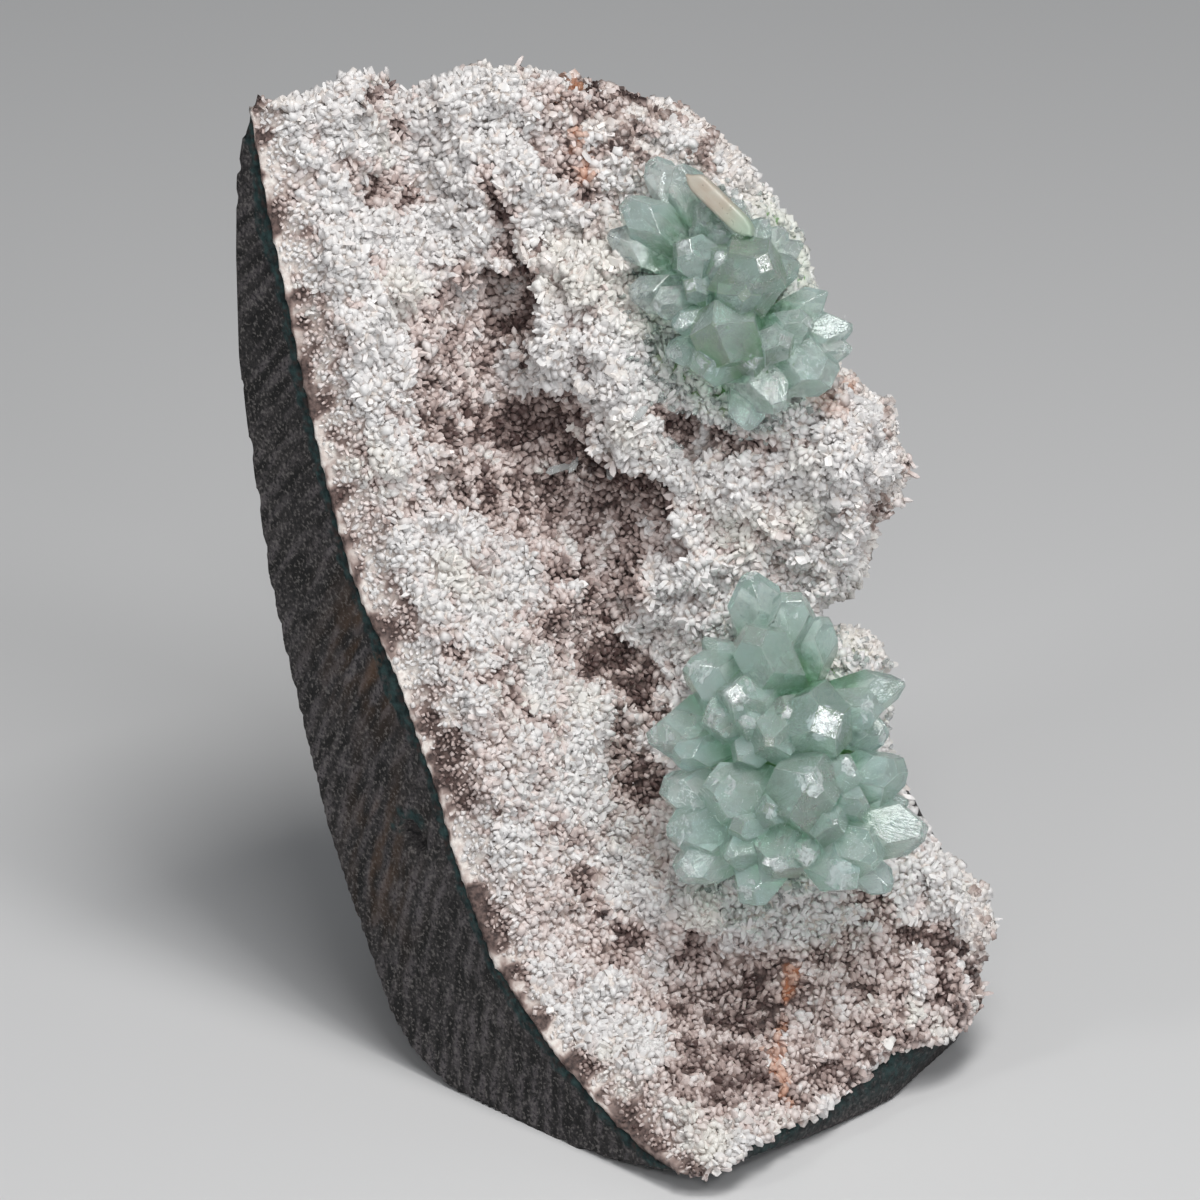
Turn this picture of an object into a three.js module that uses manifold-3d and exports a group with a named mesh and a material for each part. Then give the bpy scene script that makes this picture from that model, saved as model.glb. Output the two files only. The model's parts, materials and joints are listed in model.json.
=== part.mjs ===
// A hand specimen of green apophyllite. Two radiating clusters of square crystals and one flat blade of
// stilbite sit on a white crystal crust, which lines one wall of a hollow in basalt. The block is sawn on its
// left side and underneath, where it stands, and broken everywhere else.
//
// Everything is laid out in the face frame, in millimetres: x to the right, y up the crystal face, z out of
// the face towards the viewer. The whole piece is then leant back, so that its sawn foot lies level and +Z
// is up.
import * as THREE from "three";
import { ConvexGeometry } from "three/addons/geometries/ConvexGeometry.js";
import { mergeVertices } from "three/addons/utils/BufferGeometryUtils.js";
import Module from "manifold-3d";

// Driving dimensions.
const LEAN = THREE.MathUtils.degToRad(25); // the face leans back this far from upright
const SAW_TURN = THREE.MathUtils.degToRad(43.7); // the sawn side is turned this far from straight ahead
const FRONT_CORNER = new THREE.Vector3(18, -107.9, 19.46); // where the saw cuts would meet, were it whole
const GAP = 0.3; // clearance between pieces that grew on each other
const CRUST = 3; // thickness of the crust between its lobes
const THIN_CRUST = 2.4; // and the least that its points stand over the basalt's facets
const SWELL = 6; // how far the wall swells out along the sawn rim
const SWELL_AT = 10; // and how far from that rim it's highest
const ROLL = 8; // radius at which the wall rolls back over the top and right rims
const LOW_ROLL = 2.5; // and over the bottom rim
const ROLL_START = 22; // how far from the saw cut the rolling back reaches those radii
const FURROW_DEPTH = 11; // depth of the furrow that winds down the wall
const FURROW_HALF_WIDTH = 11; // and how far from its line it has mostly faded out
const LOBE_BLEND = 1.6; // how softly two lobes of the crust meet
const ROUGHNESS = 0.8; // how far the crust's crystal points stand in and out
const EDGE_ROUNDING = 9; // how far in from the broken rims the crust rounds over
const EDGE_HEIGHT = 14; // and the height it can have gained by then
const POINT_SLOPE = THREE.MathUtils.degToRad(60.4); // how steeply the faces of a crystal's point rise
const SAW_PITCH = 4.8; // spacing of the saw's score marks
const SAW_DEPTH = 0.55; // and how deep they are
const WALL_CELLS = [20, 10]; // how finely the basalt's wall is divided, down and across
const CRUST_CELLS = [45, 23]; // and the crust's surface
const FAR = 300; // longer than the specimen, for cutting tools

const wasm = await Module();
wasm.setup();

// ---------------------------------------------------------------------------------------------------------
// Solids, random numbers and frames

/** A repeatable random number generator, giving values from 0 to 1. */
function randomFrom(seed) {
  let state = seed;
  return () => {
    state = (state + 0x6d2b79f5) | 0;
    let t = Math.imul(state ^ (state >>> 15), 1 | state);
    t = (t + Math.imul(t ^ (t >>> 7), 61 | t)) ^ t;
    return ((t ^ (t >>> 14)) >>> 0) / 4294967296;
  };
}

/** A closed three.js geometry as a solid that can be joined and cut. */
function solidOf(geometry) {
  const bare = geometry.clone();
  bare.deleteAttribute("normal");
  bare.deleteAttribute("uv");
  const merged = mergeVertices(bare, 1e-4);
  return new wasm.Manifold(
    new wasm.Mesh({
      numProp: 3,
      vertProperties: merged.attributes.position.array,
      triVerts: new Uint32Array(merged.index.array),
    }),
  );
}

/** A solid as a flat-shaded three.js geometry. */
function geometryOf(solid) {
  const mesh = solid.getMesh();
  const indexed = new THREE.BufferGeometry();
  indexed.setAttribute("position", new THREE.BufferAttribute(mesh.vertProperties, 3));
  indexed.setIndex(new THREE.BufferAttribute(mesh.triVerts, 1));
  const flat = indexed.toNonIndexed();
  flat.computeVertexNormals();
  return flat;
}

/** The largest single body of a solid, without the crumbs that a cut can leave. */
function mainBody(solid) {
  return solid.decompose().reduce((a, b) => (a.volume() > b.volume() ? a : b));
}

const FOOT_LEVEL = FRONT_CORNER.y * Math.cos(LEAN) + FRONT_CORNER.z * Math.sin(LEAN);
const UP = new THREE.Vector3(0, Math.cos(LEAN), Math.sin(LEAN)); // straight up, seen in the face frame
const BACK = new THREE.Vector3(0, Math.sin(LEAN), -Math.cos(LEAN)); // level, away from the viewer
const SAW_ALONG = new THREE.Vector3(-Math.cos(SAW_TURN), 0, 0).addScaledVector(BACK, Math.sin(SAW_TURN));
const SAW_NORMAL = new THREE.Vector3(-Math.sin(SAW_TURN), 0, 0).addScaledVector(BACK, -Math.cos(SAW_TURN));

/** The face-frame point that stands x to the right, deep behind the front and high above the foot. */
function standing(x, deep, high) {
  return new THREE.Vector3(x, 0, 0).addScaledVector(BACK, deep).addScaledVector(UP, FOOT_LEVEL + high);
}

/** The point of the sawn side that lies along it from the front corner, and high above the foot. */
function onSawnSide(along, high) {
  return FRONT_CORNER.clone().addScaledVector(SAW_ALONG, along).addScaledVector(UP, high);
}

/** The z of the sawn side's plane at x, y. */
function sawnSideZ(x, y) {
  const across = (x - FRONT_CORNER.x) * SAW_NORMAL.x + (y - FRONT_CORNER.y) * SAW_NORMAL.y;
  return FRONT_CORNER.z - across / SAW_NORMAL.z;
}

/** Everything on the outer side of a plane, as a tool to cut with. */
function beyond(point, normal) {
  const box = new THREE.BoxGeometry(2 * FAR, 2 * FAR, FAR);
  box.translate(0, 0, FAR / 2);
  box.applyQuaternion(new THREE.Quaternion().setFromUnitVectors(new THREE.Vector3(0, 0, 1), normal));
  box.translate(point.x, point.y, point.z);
  return solidOf(box);
}

const belowFoot = beyond(FRONT_CORNER, UP.clone().negate());
const outsideSaw = beyond(FRONT_CORNER, SAW_NORMAL);

// ---------------------------------------------------------------------------------------------------------
// The wall of the hollow: a surface stretched between four rims

const sawnRim = [
  [-60.9, 87.9], [-59, 77.7], [-56.7, 64.6], [-54.8, 55.3], [-52.9, 45.5], [-50.1, 32.2], [-46.7, 17.9],
  [-43.8, 7], [-38.8, -5.5], [-34.8, -14.4], [-31.4, -24.4], [-27.9, -33.9], [-24.4, -46.9], [-20, -56.4],
  [-15.5, -65.3], [-10, -74.2], [-3.5, -83], [2, -90.3], [6.9, -95.6], [11.4, -99.9], [16.3, -102.1],
].map(([x, y]) => new THREE.Vector3(x, y, sawnSideZ(x, y)));

const topRim = [
  [-60.9, 87.9, 27.6], [-57.5, 89.5, 25], [-53.2, 90.1, 22.5], [-49.6, 91.2, 20.5], [-46.4, 94.8, 19],
  [-42.5, 95.4, 17.5], [-38.2, 94.7, 13], [-36.3, 90.9, 10], [-32.8, 92.4, 9], [-28.3, 95.5, 8],
  [-19.9, 96.4, 5.5], [-10, 95.6, 3], [1, 93.2, 1], [8, 91, 0], [14.5, 89.1, -1.5], [19.5, 85.7, -3],
  [24.1, 79.7, -4], [27.1, 75.2, -5],
].map(([x, y, z]) => new THREE.Vector3(x, y, z));

const rightRim = [
  [27.1, 75.2, -5], [31.1, 69.2, -5], [36.1, 63.2, -5], [39.6, 55.2, -5], [42.1, 46.2, -5],
  [44.6, 40.6, -4], [48.1, 38.8, -4], [51.5, 36.8, -5], [53.7, 30.6, -5], [54.8, 21.6, -6],
  [51.7, 17.1, -7], [50.3, 13.1, -8], [50.1, 8, -9], [47.8, 3.5, -9], [44.3, -0.5, -10], [39.3, -1.5, -10],
  [40.3, -4, -10], [44.8, -6, -10], [48.8, -7, -10], [51.3, -12.1, -10], [51.9, -18.1, -11],
  [53.4, -26.2, -12], [56.3, -34.3, -13], [60.6, -42.9, -14], [65.7, -48, -15], [69.2, -52.6, -16],
  [70.7, -58.6, -16], [68.7, -64.7, -16], [70.9, -74.3, -16],
].map(([x, y, z]) => new THREE.Vector3(x, y, z));

const bottomRim = [
  [16.3, -102.1, 20.4], [20.7, -101.8, 18], [24.8, -98.1, 14], [29.3, -95.8, 11], [34.3, -94.1, 7],
  [39.9, -92.3, 3], [45, -88.6, -1], [49.6, -85.2, -4], [55.3, -80.9, -8], [60.9, -81.6, -11],
  [66.1, -79.2, -14], [70.9, -74.3, -16],
].map(([x, y, z]) => new THREE.Vector3(x, y, z));

const curveThrough = (points) => new THREE.CatmullRomCurve3(points, false, "centripetal");
const rims = {
  sawn: curveThrough(sawnRim),
  top: curveThrough(topRim),
  right: curveThrough(rightRim),
  bottom: curveThrough(bottomRim),
};

/** A point of the wall: down from top rim (0) to bottom rim (1), across from the sawn rim to the right one. */
function wallPoint(down, across) {
  const between = (a, b, share) => a.clone().multiplyScalar(1 - share).addScaledVector(b, share);
  const sides = between(rims.sawn.getPointAt(down), rims.right.getPointAt(down), across);
  const ends = between(rims.top.getPointAt(across), rims.bottom.getPointAt(across), down);
  const corners = between(
    between(sawnRim[0], topRim.at(-1), across),
    between(bottomRim[0], bottomRim.at(-1), across),
    down,
  );
  return sides.add(ends).sub(corners);
}

// The line of the deep furrow that winds down the middle of the wall.
const furrow = [
  [-37, 78], [-28, 68], [-20, 62], [-19, 47], [-18, 34], [-6, 22], [0, 7], [1, -7], [8, -21], [7, -34],
  [0, -46], [-3, -58], [6, -70], [22, -74],
].map(([x, y]) => new THREE.Vector3(x, y, 0));

const flatPoint = new THREE.Vector3();
const nearestPoint = new THREE.Vector3();
const furrowRun = new THREE.Line3();

/** How far x, y lies from the furrow's line. */
function furrowDistance(x, y) {
  flatPoint.set(x, y, 0);
  let nearest = Infinity;
  for (let i = 1; i < furrow.length; i++) {
    furrowRun.set(furrow[i - 1], furrow[i]).closestPointToPoint(flatPoint, true, nearestPoint);
    nearest = Math.min(nearest, nearestPoint.distanceTo(flatPoint));
  }
  return nearest;
}

/** How far x, y lies from the nearest of some points. */
function distanceTo(points, x, y) {
  return Math.min(...points.map((p) => Math.hypot(p.x - x, p.y - y)));
}

const sawnRimPoints = rims.sawn.getSpacedPoints(60);

/** Points along a broken rim, each with the radius the wall rolls back at: none near the saw cut. */
function rollingRim(curve, fullRadius) {
  return curve.getSpacedPoints(80).map(({ x, y }) => {
    const radius = fullRadius * Math.min(1, distanceTo(sawnRimPoints, x, y) / ROLL_START);
    return { x, y, radius };
  });
}

const rollingRims = [
  ...rollingRim(rims.top, ROLL),
  ...rollingRim(rims.right, ROLL),
  ...rollingRim(rims.bottom, LOW_ROLL),
];

/** How far the wall has rolled back at x, y. */
function rollBack(x, y) {
  let deepest = 0;
  for (const rim of rollingRims) {
    const inward = Math.max(0, rim.radius - Math.hypot(rim.x - x, rim.y - y));
    deepest = Math.max(deepest, rim.radius - Math.sqrt(rim.radius * rim.radius - inward * inward));
  }
  return deepest;
}

/** The basalt's own surface under the crust. */
function basaltWallPoint(down, across) {
  const p = wallPoint(down, across);
  const fromSaw = distanceTo(sawnRimPoints, p.x, p.y) / SWELL_AT;
  p.z += SWELL * fromSaw ** 2 * Math.exp(2 - 2 * fromSaw);
  p.z -= FURROW_DEPTH * Math.exp(-((furrowDistance(p.x, p.y) / FURROW_HALF_WIDTH) ** 2));
  p.z -= rollBack(p.x, p.y) + CRUST;
  return p;
}

// ---------------------------------------------------------------------------------------------------------
// The white crust: round lobes of small crystals, standing on the wall

// x, y, how far the lobe stands out from the crust around it, and its radius.
const lobes = [
  // the swell along the sawn rim, from the top down
  [-46, 91, 5, 8], [-54, 87, 2, 6.5], [-49, 79, 2.5, 8], [-45, 70, 3, 7], [-48, 60, 2, 7.5],
  [-37, 55, 3, 7], [-44, 47, 2, 8], [-36, 44, 3.4, 8.5], [-38, 34, 1.6, 7], [-32, 23, 4, 9],
  [-36, 13, 1.6, 6.5], [-26, 7, 3, 8.5], [-30, -3, 1.5, 6.5], [-18, -8, 3, 8.5], [-23, -18, 3.2, 8],
  [-14, -29, 2, 7], [-18, -36, 1.6, 6.5], [-7, -41, 3.4, 8], [-11, -52, 2.2, 7], [0, -58, 2.4, 6.5],
  [-2, -70, 2.6, 7.5], [7, -74, 2.2, 7], [7, -85, 2.8, 7.5], [16, -95, 2.8, 8],
  // the lobes at the top, and the bulging mass under them
  [-29, 90, 5, 8.5], [-18, 91, 5, 8.5], [-27, 82, 4, 7.5], [-8, 90, 2.6, 7], [-18, 75, 9, 12.5],
  [-28, 69, 7, 9.5], [-7, 73, 5, 8], [-22, 65, 9.5, 8.5], [-27, 60, 6, 7.5], [7, 85, 3.4, 8],
  [16, 82, 4.5, 7], [21, 76, 3, 5.5], [2, 80, 2.4, 6.5],
  // the two knobs beside the upper cluster
  [-5, 53, 17, 12], [-10, 59, 11, 8], [-7, 45, 14, 9], [3, 59, 11, 8], [4, 47, 15, 9],
  [4, 30, 17, 10.5], [-2, 25, 10, 6.5], [9, 25, 11, 6.5], [-1, 35, 10, 6],
  // the bulging mass on the right, between the clusters
  [43, 27, 14, 11.5], [34, 32, 12, 11], [47, 20, 12, 9], [45, 11, 10, 8], [41, 3, 8, 5.5],
  [25, 21, 11, 10.5], [16, 18, 9, 8.5], [32, 14, 9, 9.5], [18, 7, 7, 8], [26, 6, 6, 8], [11, 2, 6, 7.5],
  [19, -2, 5, 7], [7, -6, 4, 6], [47, -10, 5, 5],
  // the low lumps left of the furrow and in it
  [-21, 36, 2, 5], [-14, 22, 2, 5], [-7, 14, 2, 5.5], [0, 7, 2, 5.5], [-7, 1, 3.2, 8.5], [-13, 7, 2.4, 6.5],
  [-7, -14, 2.4, 6.5], [0, -21, 3, 6.5], [4, -34, 2, 5.5], [-2, -46, 2.4, 6.5],
  // below the lower cluster
  [16, -56, 7, 8.5], [7, -47, 4, 7], [25, -60, 3, 6], [60, -51, 6, 8.5], [54, -59, 3.5, 7],
  [65, -57, 5, 6.5], [45, -58, 2.5, 6], [38, -68, 1.6, 6], [54, -73, 2.4, 7], [64, -73, 3.4, 7],
  [50, -82, 2, 5.5], [39, -83, 2.2, 6.5], [28, -82, 2.2, 6.5], [22, -71, 1.8, 6], [25, -92, 2.4, 5],
];

/** The larger of two heights, with the crease between them rounded. */
function softMax(a, b, softness) {
  const share = Math.max(0, softness - Math.abs(a - b)) / softness;
  return Math.max(a, b) + (share * share * softness) / 4;
}

// Each cluster stands on a flat oval seat in the crust, the upper one first.
const seats = [
  { x: 24, y: 52, z: 3, halfWidth: 17, halfHeight: 22 },
  { x: 34, y: -28, z: -4, halfWidth: 20, halfHeight: 26 },
];

/** 0 on a seat, rising to 1 clear of it. */
function offSeat(seat, x, y) {
  const away = Math.hypot((x - seat.x) / seat.halfWidth, (y - seat.y) / seat.halfHeight);
  return THREE.MathUtils.smoothstep(away, 0.95, 1.25);
}

const wallSamples = [];
for (let i = 0; i <= 60; i++) {
  for (let j = 0; j <= 30; j++) wallSamples.push(basaltWallPoint(i / 60, j / 30));
}

/** The basalt's height at x, y, from the nearest point known of it. */
function basaltZ(x, y) {
  const distance = (p) => Math.hypot(p.x - x, p.y - y);
  return wallSamples.reduce((a, b) => (distance(a) < distance(b) ? a : b)).z;
}

const crowns = lobes.map(([x, y, rise, radius]) => ({ x, y, radius, z: basaltZ(x, y) + CRUST + rise }));

/** How high a lobe may stand at x, y, so that the saw cut meets the crust along its rim and nowhere else. */
function rimLimit(x, y) {
  return sawnSideZ(x, y) - 0.35 * distanceTo(sawnRimPoints, x, y);
}

/** The crust's outer surface over a point of the basalt's wall. */
function crustZ({ x, y, z: underneath }) {
  let z = underneath + CRUST;
  for (const crown of crowns) {
    const away = Math.hypot(x - crown.x, y - crown.y);
    if (away >= crown.radius) continue;
    z = softMax(z, crown.z - crown.radius + Math.sqrt(crown.radius ** 2 - away ** 2), LOBE_BLEND);
  }
  z = Math.min(z, Math.max(underneath + CRUST, rimLimit(x, y)));
  for (const seat of seats) z = THREE.MathUtils.lerp(seat.z, z, offSeat(seat, x, y));
  const fromEdge = Math.min(1, distanceTo(rollingRims, x, y) / EDGE_ROUNDING);
  return Math.min(z, underneath + CRUST + EDGE_HEIGHT * Math.sqrt(1 - (1 - fromEdge) ** 2));
}

/** A block whose top is a grid of points and whose flat bottom lies at floorZ. */
function gridBlock(grid, floorZ) {
  const rows = grid.length;
  const columns = grid[0].length;
  const positions = grid.flat().flatMap((p) => [p.x, p.y, p.z]);
  positions.push(...grid.flat().flatMap((p) => [p.x, p.y, floorZ]));
  const top = (i, j) => i * columns + j;
  const bottom = (i, j) => rows * columns + top(i, j);
  const triangles = [];
  const quad = (a, b, c, d) => triangles.push(a, b, c, a, c, d);
  for (let i = 0; i + 1 < rows; i++) {
    for (let j = 0; j + 1 < columns; j++) {
      quad(top(i, j), top(i + 1, j), top(i + 1, j + 1), top(i, j + 1));
      quad(bottom(i, j), bottom(i, j + 1), bottom(i + 1, j + 1), bottom(i + 1, j));
    }
  }
  for (let i = 0; i + 1 < rows; i++) {
    quad(top(i, 0), bottom(i, 0), bottom(i + 1, 0), top(i + 1, 0));
    quad(top(i + 1, columns - 1), bottom(i + 1, columns - 1), bottom(i, columns - 1), top(i, columns - 1));
  }
  for (let j = 0; j + 1 < columns; j++) {
    quad(top(0, j + 1), bottom(0, j + 1), bottom(0, j), top(0, j));
    quad(top(rows - 1, j), bottom(rows - 1, j), bottom(rows - 1, j + 1), top(rows - 1, j + 1));
  }
  const block = new THREE.BufferGeometry();
  block.setAttribute("position", new THREE.Float32BufferAttribute(positions, 3));
  block.setIndex(triangles);
  return solidOf(block);
}

const FLOOR_Z = -160; // behind everything
const PAST_SAW = new THREE.Vector3(-0.92, -0.39, 0); // which way a surface is carried on past the saw cut

/** The z of the basalt's faceted surface, down and across the wall as in wallPoint. */
function facetedWallZ(down, across) {
  const [rows, columns] = WALL_CELLS;
  const i = Math.min(rows - 1, Math.floor(down * rows));
  const j = Math.min(columns - 1, Math.floor(across * columns));
  const cornerZ = (row, column) => basaltWallPoint(row / rows, column / columns).z;
  const upper = THREE.MathUtils.lerp(cornerZ(i, j), cornerZ(i, j + 1), across * columns - j);
  const lower = THREE.MathUtils.lerp(cornerZ(i + 1, j), cornerZ(i + 1, j + 1), across * columns - j);
  return THREE.MathUtils.lerp(upper, lower, down * rows - i);
}

/** The crust's outer surface raised by a clearance, as a solid block down to the floor. */
function crustBlock(clearance) {
  const [rows, columns] = CRUST_CELLS;
  const random = randomFrom(7);
  const grid = [];
  for (let i = 0; i <= rows; i++) {
    const row = [];
    for (let j = 0; j <= columns; j++) {
      const p = basaltWallPoint(i / rows, j / columns);
      p.z = crustZ(p);
      const roughness = ROUGHNESS * Math.min(...seats.map((seat) => offSeat(seat, p.x, p.y)));
      const onRim = i === 0 || i === rows || j === 0 || j === columns;
      const sway = onRim ? 0 : roughness / 2;
      p.x += sway * (2 * random() - 1);
      p.y += sway * (2 * random() - 1);
      p.z += roughness * (2 * random() - 1);
      p.z = Math.max(p.z, facetedWallZ(i / rows, j / columns) + GAP + THIN_CRUST) + clearance;
      row.push(p);
    }
    row.unshift(row[0].clone().addScaledVector(PAST_SAW, 8));
    grid.push(row);
  }
  return gridBlock(grid, FLOOR_Z);
}

/** The basalt's surface raised by a clearance, carried on past every rim, as a block down to the floor. */
function basaltBlock(clearance) {
  const [rows, columns] = WALL_CELLS;
  const skirt = 14;
  const grid = [];
  for (let i = 0; i <= rows; i++) {
    const row = [];
    for (let j = 0; j <= columns; j++) {
      const p = basaltWallPoint(i / rows, j / columns);
      p.z += clearance;
      row.push(p);
    }
    row.unshift(row[0].clone().addScaledVector(PAST_SAW, 70));
    const last = row.at(-1);
    row.push(new THREE.Vector3(last.x + skirt, last.y, last.z - skirt));
    grid.push(row);
  }
  grid.unshift(grid[0].map((p) => new THREE.Vector3(p.x, p.y + skirt, p.z - skirt)));
  grid.push(grid.at(-1).map((p) => new THREE.Vector3(p.x + 5, p.y - skirt, p.z - 3)));
  return gridBlock(grid, FLOOR_Z - 1);
}

function makeCrust() {
  return mainBody(
    crustBlock(0)
      .subtract(basaltBlock(GAP))
      .subtract(outsideSaw)
      .subtract(beyond(standing(0, 0, GAP), UP.clone().negate())),
  );
}

// ---------------------------------------------------------------------------------------------------------
// The basalt: a broken block, sawn on the left and underneath

/** The block before the hollow is cut out of it, from the corners of its broken faces. */
function brokenBlock() {
  const sawnSide = [
    [0, 5.5], [28, 0], [58, 0], [65, 1.4], [72.2, 5.4], [77.2, 10.6], [88, 32.1], [93.6, 44.4], [104.2, 77.4],
    [108.3, 91.7], [113, 118.4], [115, 131.6], [115.2, 150], [114.7, 164.6], [111.6, 179.4], [110, 181],
  ].map(([along, high]) => onSawnSide(along, high));
  const foot = [
    [-41, 34], [-27, 58], [34, 60], [60, 26], [66, 0], [63, -5], [52.5, -24], [41.5, -34], [26, -38.5],
  ].map(([x, deep]) => standing(x, deep, 0));
  const back = [
    [-40, 50, 122], [-22, 62, 66], [2, 55, 122], [30, 52, 76], [38, 30, 92], [50, 22, 48], [-30, 56, 162],
    [0, 50, 154],
  ].map(([x, deep, high]) => standing(x, deep, high));
  const rim = [
    [-53, 88, 9], [-44, 92, 4], [-28, 92.5, -4], [-12, 92.5, -8], [1, 90, -11], [14, 86, -13],
    [21, 78.5, -15], [25, 73, -16], [35, 60, -16], [43, 40, -15], [52, 30, -15], [52.5, 20, -16],
    [67, -56, -25], [69, -73, -22], [57, -80, -12],
  ].map(([x, y, z]) => new THREE.Vector3(x, y, z));
  return solidOf(new ConvexGeometry([...sawnSide, ...foot, ...back, ...rim]));
}

/** A piece broken out of the block, from its corners. */
function chip(corners) {
  return solidOf(new ConvexGeometry(corners));
}

const chips = [
  // the deep bite out of the right side, between the clusters
  [
    [35.5, -3, 20], [53, 23, 20], [120, 40, 20], [120, -60, 20], [65, -58, 20],
    [43, -5, -75], [60, 16, -75], [120, 20, -75], [120, -46, -75], [66, -42, -75],
  ].map(([x, y, z]) => new THREE.Vector3(x, y, z)),
  // a ledge on the left of the back
  [
    [-70, 46, 40], [-5, 60, 30], [-70, 100, 34], [-5, 100, 30],
    [-70, 40, 128], [-8, 52, 120], [-70, 100, 140], [-8, 100, 130],
  ].map(([x, deep, high]) => standing(x, deep, high)),
  // a corner off the foot at the back
  [
    [0, 64, -5], [75, 26, -5], [0, 110, -5], [110, 60, -5], [4, 58, 46], [75, 16, 38], [4, 110, 52],
    [110, 60, 50],
  ].map(([x, deep, high]) => standing(x, deep, high)),
];

// Where flakes broke off the back and the right side: x, deep and high of a ball's middle, and its radius.
const scars = [
  [-14, 112, 92, 60], [30, 106, 44, 56], [-40, 98, 34, 54], [14, 101, 138, 54], [74, 62, 92, 53],
  [112, -6, 40, 54],
];

/** A coarse ball that knocks off one flake. Its x also turns it, so that no two scars are alike. */
function flake([x, deep, high, radius]) {
  const ball = new THREE.IcosahedronGeometry(radius, 1);
  ball.rotateX(x);
  const middle = standing(x, deep, high);
  ball.translate(middle.x, middle.y, middle.z);
  return solidOf(ball);
}

/** What the saw takes off the side: all that lies outside it, with a steep score mark at each tooth. */
function sawKerf() {
  const random = randomFrom(3);
  const profile = new THREE.Shape();
  profile.moveTo(-20, 40);
  for (let across = -10; across < 190; across += SAW_PITCH) {
    profile.lineTo(across, 0);
    profile.lineTo(across + SAW_PITCH * (0.4 + 0.2 * random()), -SAW_DEPTH * (0.5 + 0.5 * random()));
  }
  profile.lineTo(200, 40);
  const kerf = new THREE.ExtrudeGeometry(profile, { depth: 2 * FAR, bevelEnabled: false });
  kerf.translate(0, 0, -FAR);
  const across = SAW_ALONG.clone().multiplyScalar(0.89).addScaledVector(UP, 0.456);
  kerf.applyMatrix4(new THREE.Matrix4().makeBasis(across, SAW_NORMAL, across.clone().cross(SAW_NORMAL)));
  kerf.translate(FRONT_CORNER.x, FRONT_CORNER.y, FRONT_CORNER.z);
  return solidOf(kerf);
}

/** A gas bubble that the saw opened: its place along and up the sawn side, and its radius. */
function bubble([along, high, radius]) {
  const hollow = new THREE.IcosahedronGeometry(radius, 1);
  hollow.scale(1.3, 1, 0.8);
  const centre = onSawnSide(along, high);
  hollow.translate(centre.x, centre.y, centre.z);
  return solidOf(hollow);
}

const bubbles = [[72.5, 48.5, 3.4], [110, 150, 1.5], [98, 94, 1.3], [101, 126, 1.2], [60, 28, 1.5]];

function makeBasalt() {
  let block = brokenBlock().intersect(basaltBlock(0));
  const hollows = [...chips.map(chip), ...scars.map(flake), ...bubbles.map(bubble)];
  for (const tool of [...hollows, sawKerf(), belowFoot]) {
    block = block.subtract(tool);
  }
  return mainBody(block);
}

// ---------------------------------------------------------------------------------------------------------
// Apophyllite crystals: square prisms, each with a four-sided point turned an eighth of a turn from the prism

/** The convex solid inside a set of planes. */
function insidePlanes(planes) {
  const corners = [];
  const direction = new THREE.Matrix3();
  for (let i = 0; i < planes.length; i++) {
    for (let j = i + 1; j < planes.length; j++) {
      for (let k = j + 1; k < planes.length; k++) {
        const [a, b, c] = [planes[i], planes[j], planes[k]];
        direction.set(...a.normal.toArray(), ...b.normal.toArray(), ...c.normal.toArray());
        if (Math.abs(direction.determinant()) < 1e-4) continue;
        const corner = new THREE.Vector3(-a.constant, -b.constant, -c.constant);
        corner.applyMatrix3(direction.invert());
        const kept = planes.every((plane) => plane.distanceToPoint(corner) < 1e-4);
        if (kept && corners.every((other) => other.distanceTo(corner) > 0.02)) corners.push(corner);
      }
    }
  }
  return solidOf(new ConvexGeometry(corners));
}

/** One crystal, from its root to its tip. blunt says how much of its point is missing, cut off square. */
function crystal({ root, tip, width, blunt, random }) {
  const length = root.distanceTo(tip);
  const half = width / 2;
  const narrowing = (0.25 * half) / length; // crowded crystals are slimmer at the root
  const planes = [];
  const addPlane = (normal, through) => planes.push(new THREE.Plane(normal, -normal.dot(through)));
  for (let side = 0; side < 4; side++) {
    const turn = (side * Math.PI) / 2;
    const out = half * (0.95 + 0.25 * random());
    const [x, y] = [Math.cos(turn), Math.sin(turn)];
    const edge = new THREE.Vector3(x * out, y * out, length - half);
    addPlane(new THREE.Vector3(x, y, -narrowing).normalize(), edge);
    const slant = turn + Math.PI / 4;
    const rise = Math.sin(POINT_SLOPE);
    addPlane(
      new THREE.Vector3(Math.cos(slant) * rise, Math.sin(slant) * rise, Math.cos(POINT_SLOPE)),
      new THREE.Vector3(0, 0, length + half * (blunt - 0.3 * random())),
    );
  }
  addPlane(new THREE.Vector3(0, 0, 1), new THREE.Vector3(0, 0, length));
  addPlane(new THREE.Vector3(0, 0, -1), new THREE.Vector3());
  const along = tip.clone().sub(root).normalize();
  const turned = new THREE.Quaternion().setFromUnitVectors(new THREE.Vector3(0, 0, 1), along);
  const rolled = new THREE.Quaternion().setFromAxisAngle(new THREE.Vector3(0, 0, 1), random() * Math.PI);
  const place = new THREE.Matrix4().compose(root, turned.multiply(rolled), new THREE.Vector3(1, 1, 1));
  return insidePlanes(planes).transform(place.toArray());
}

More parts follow.
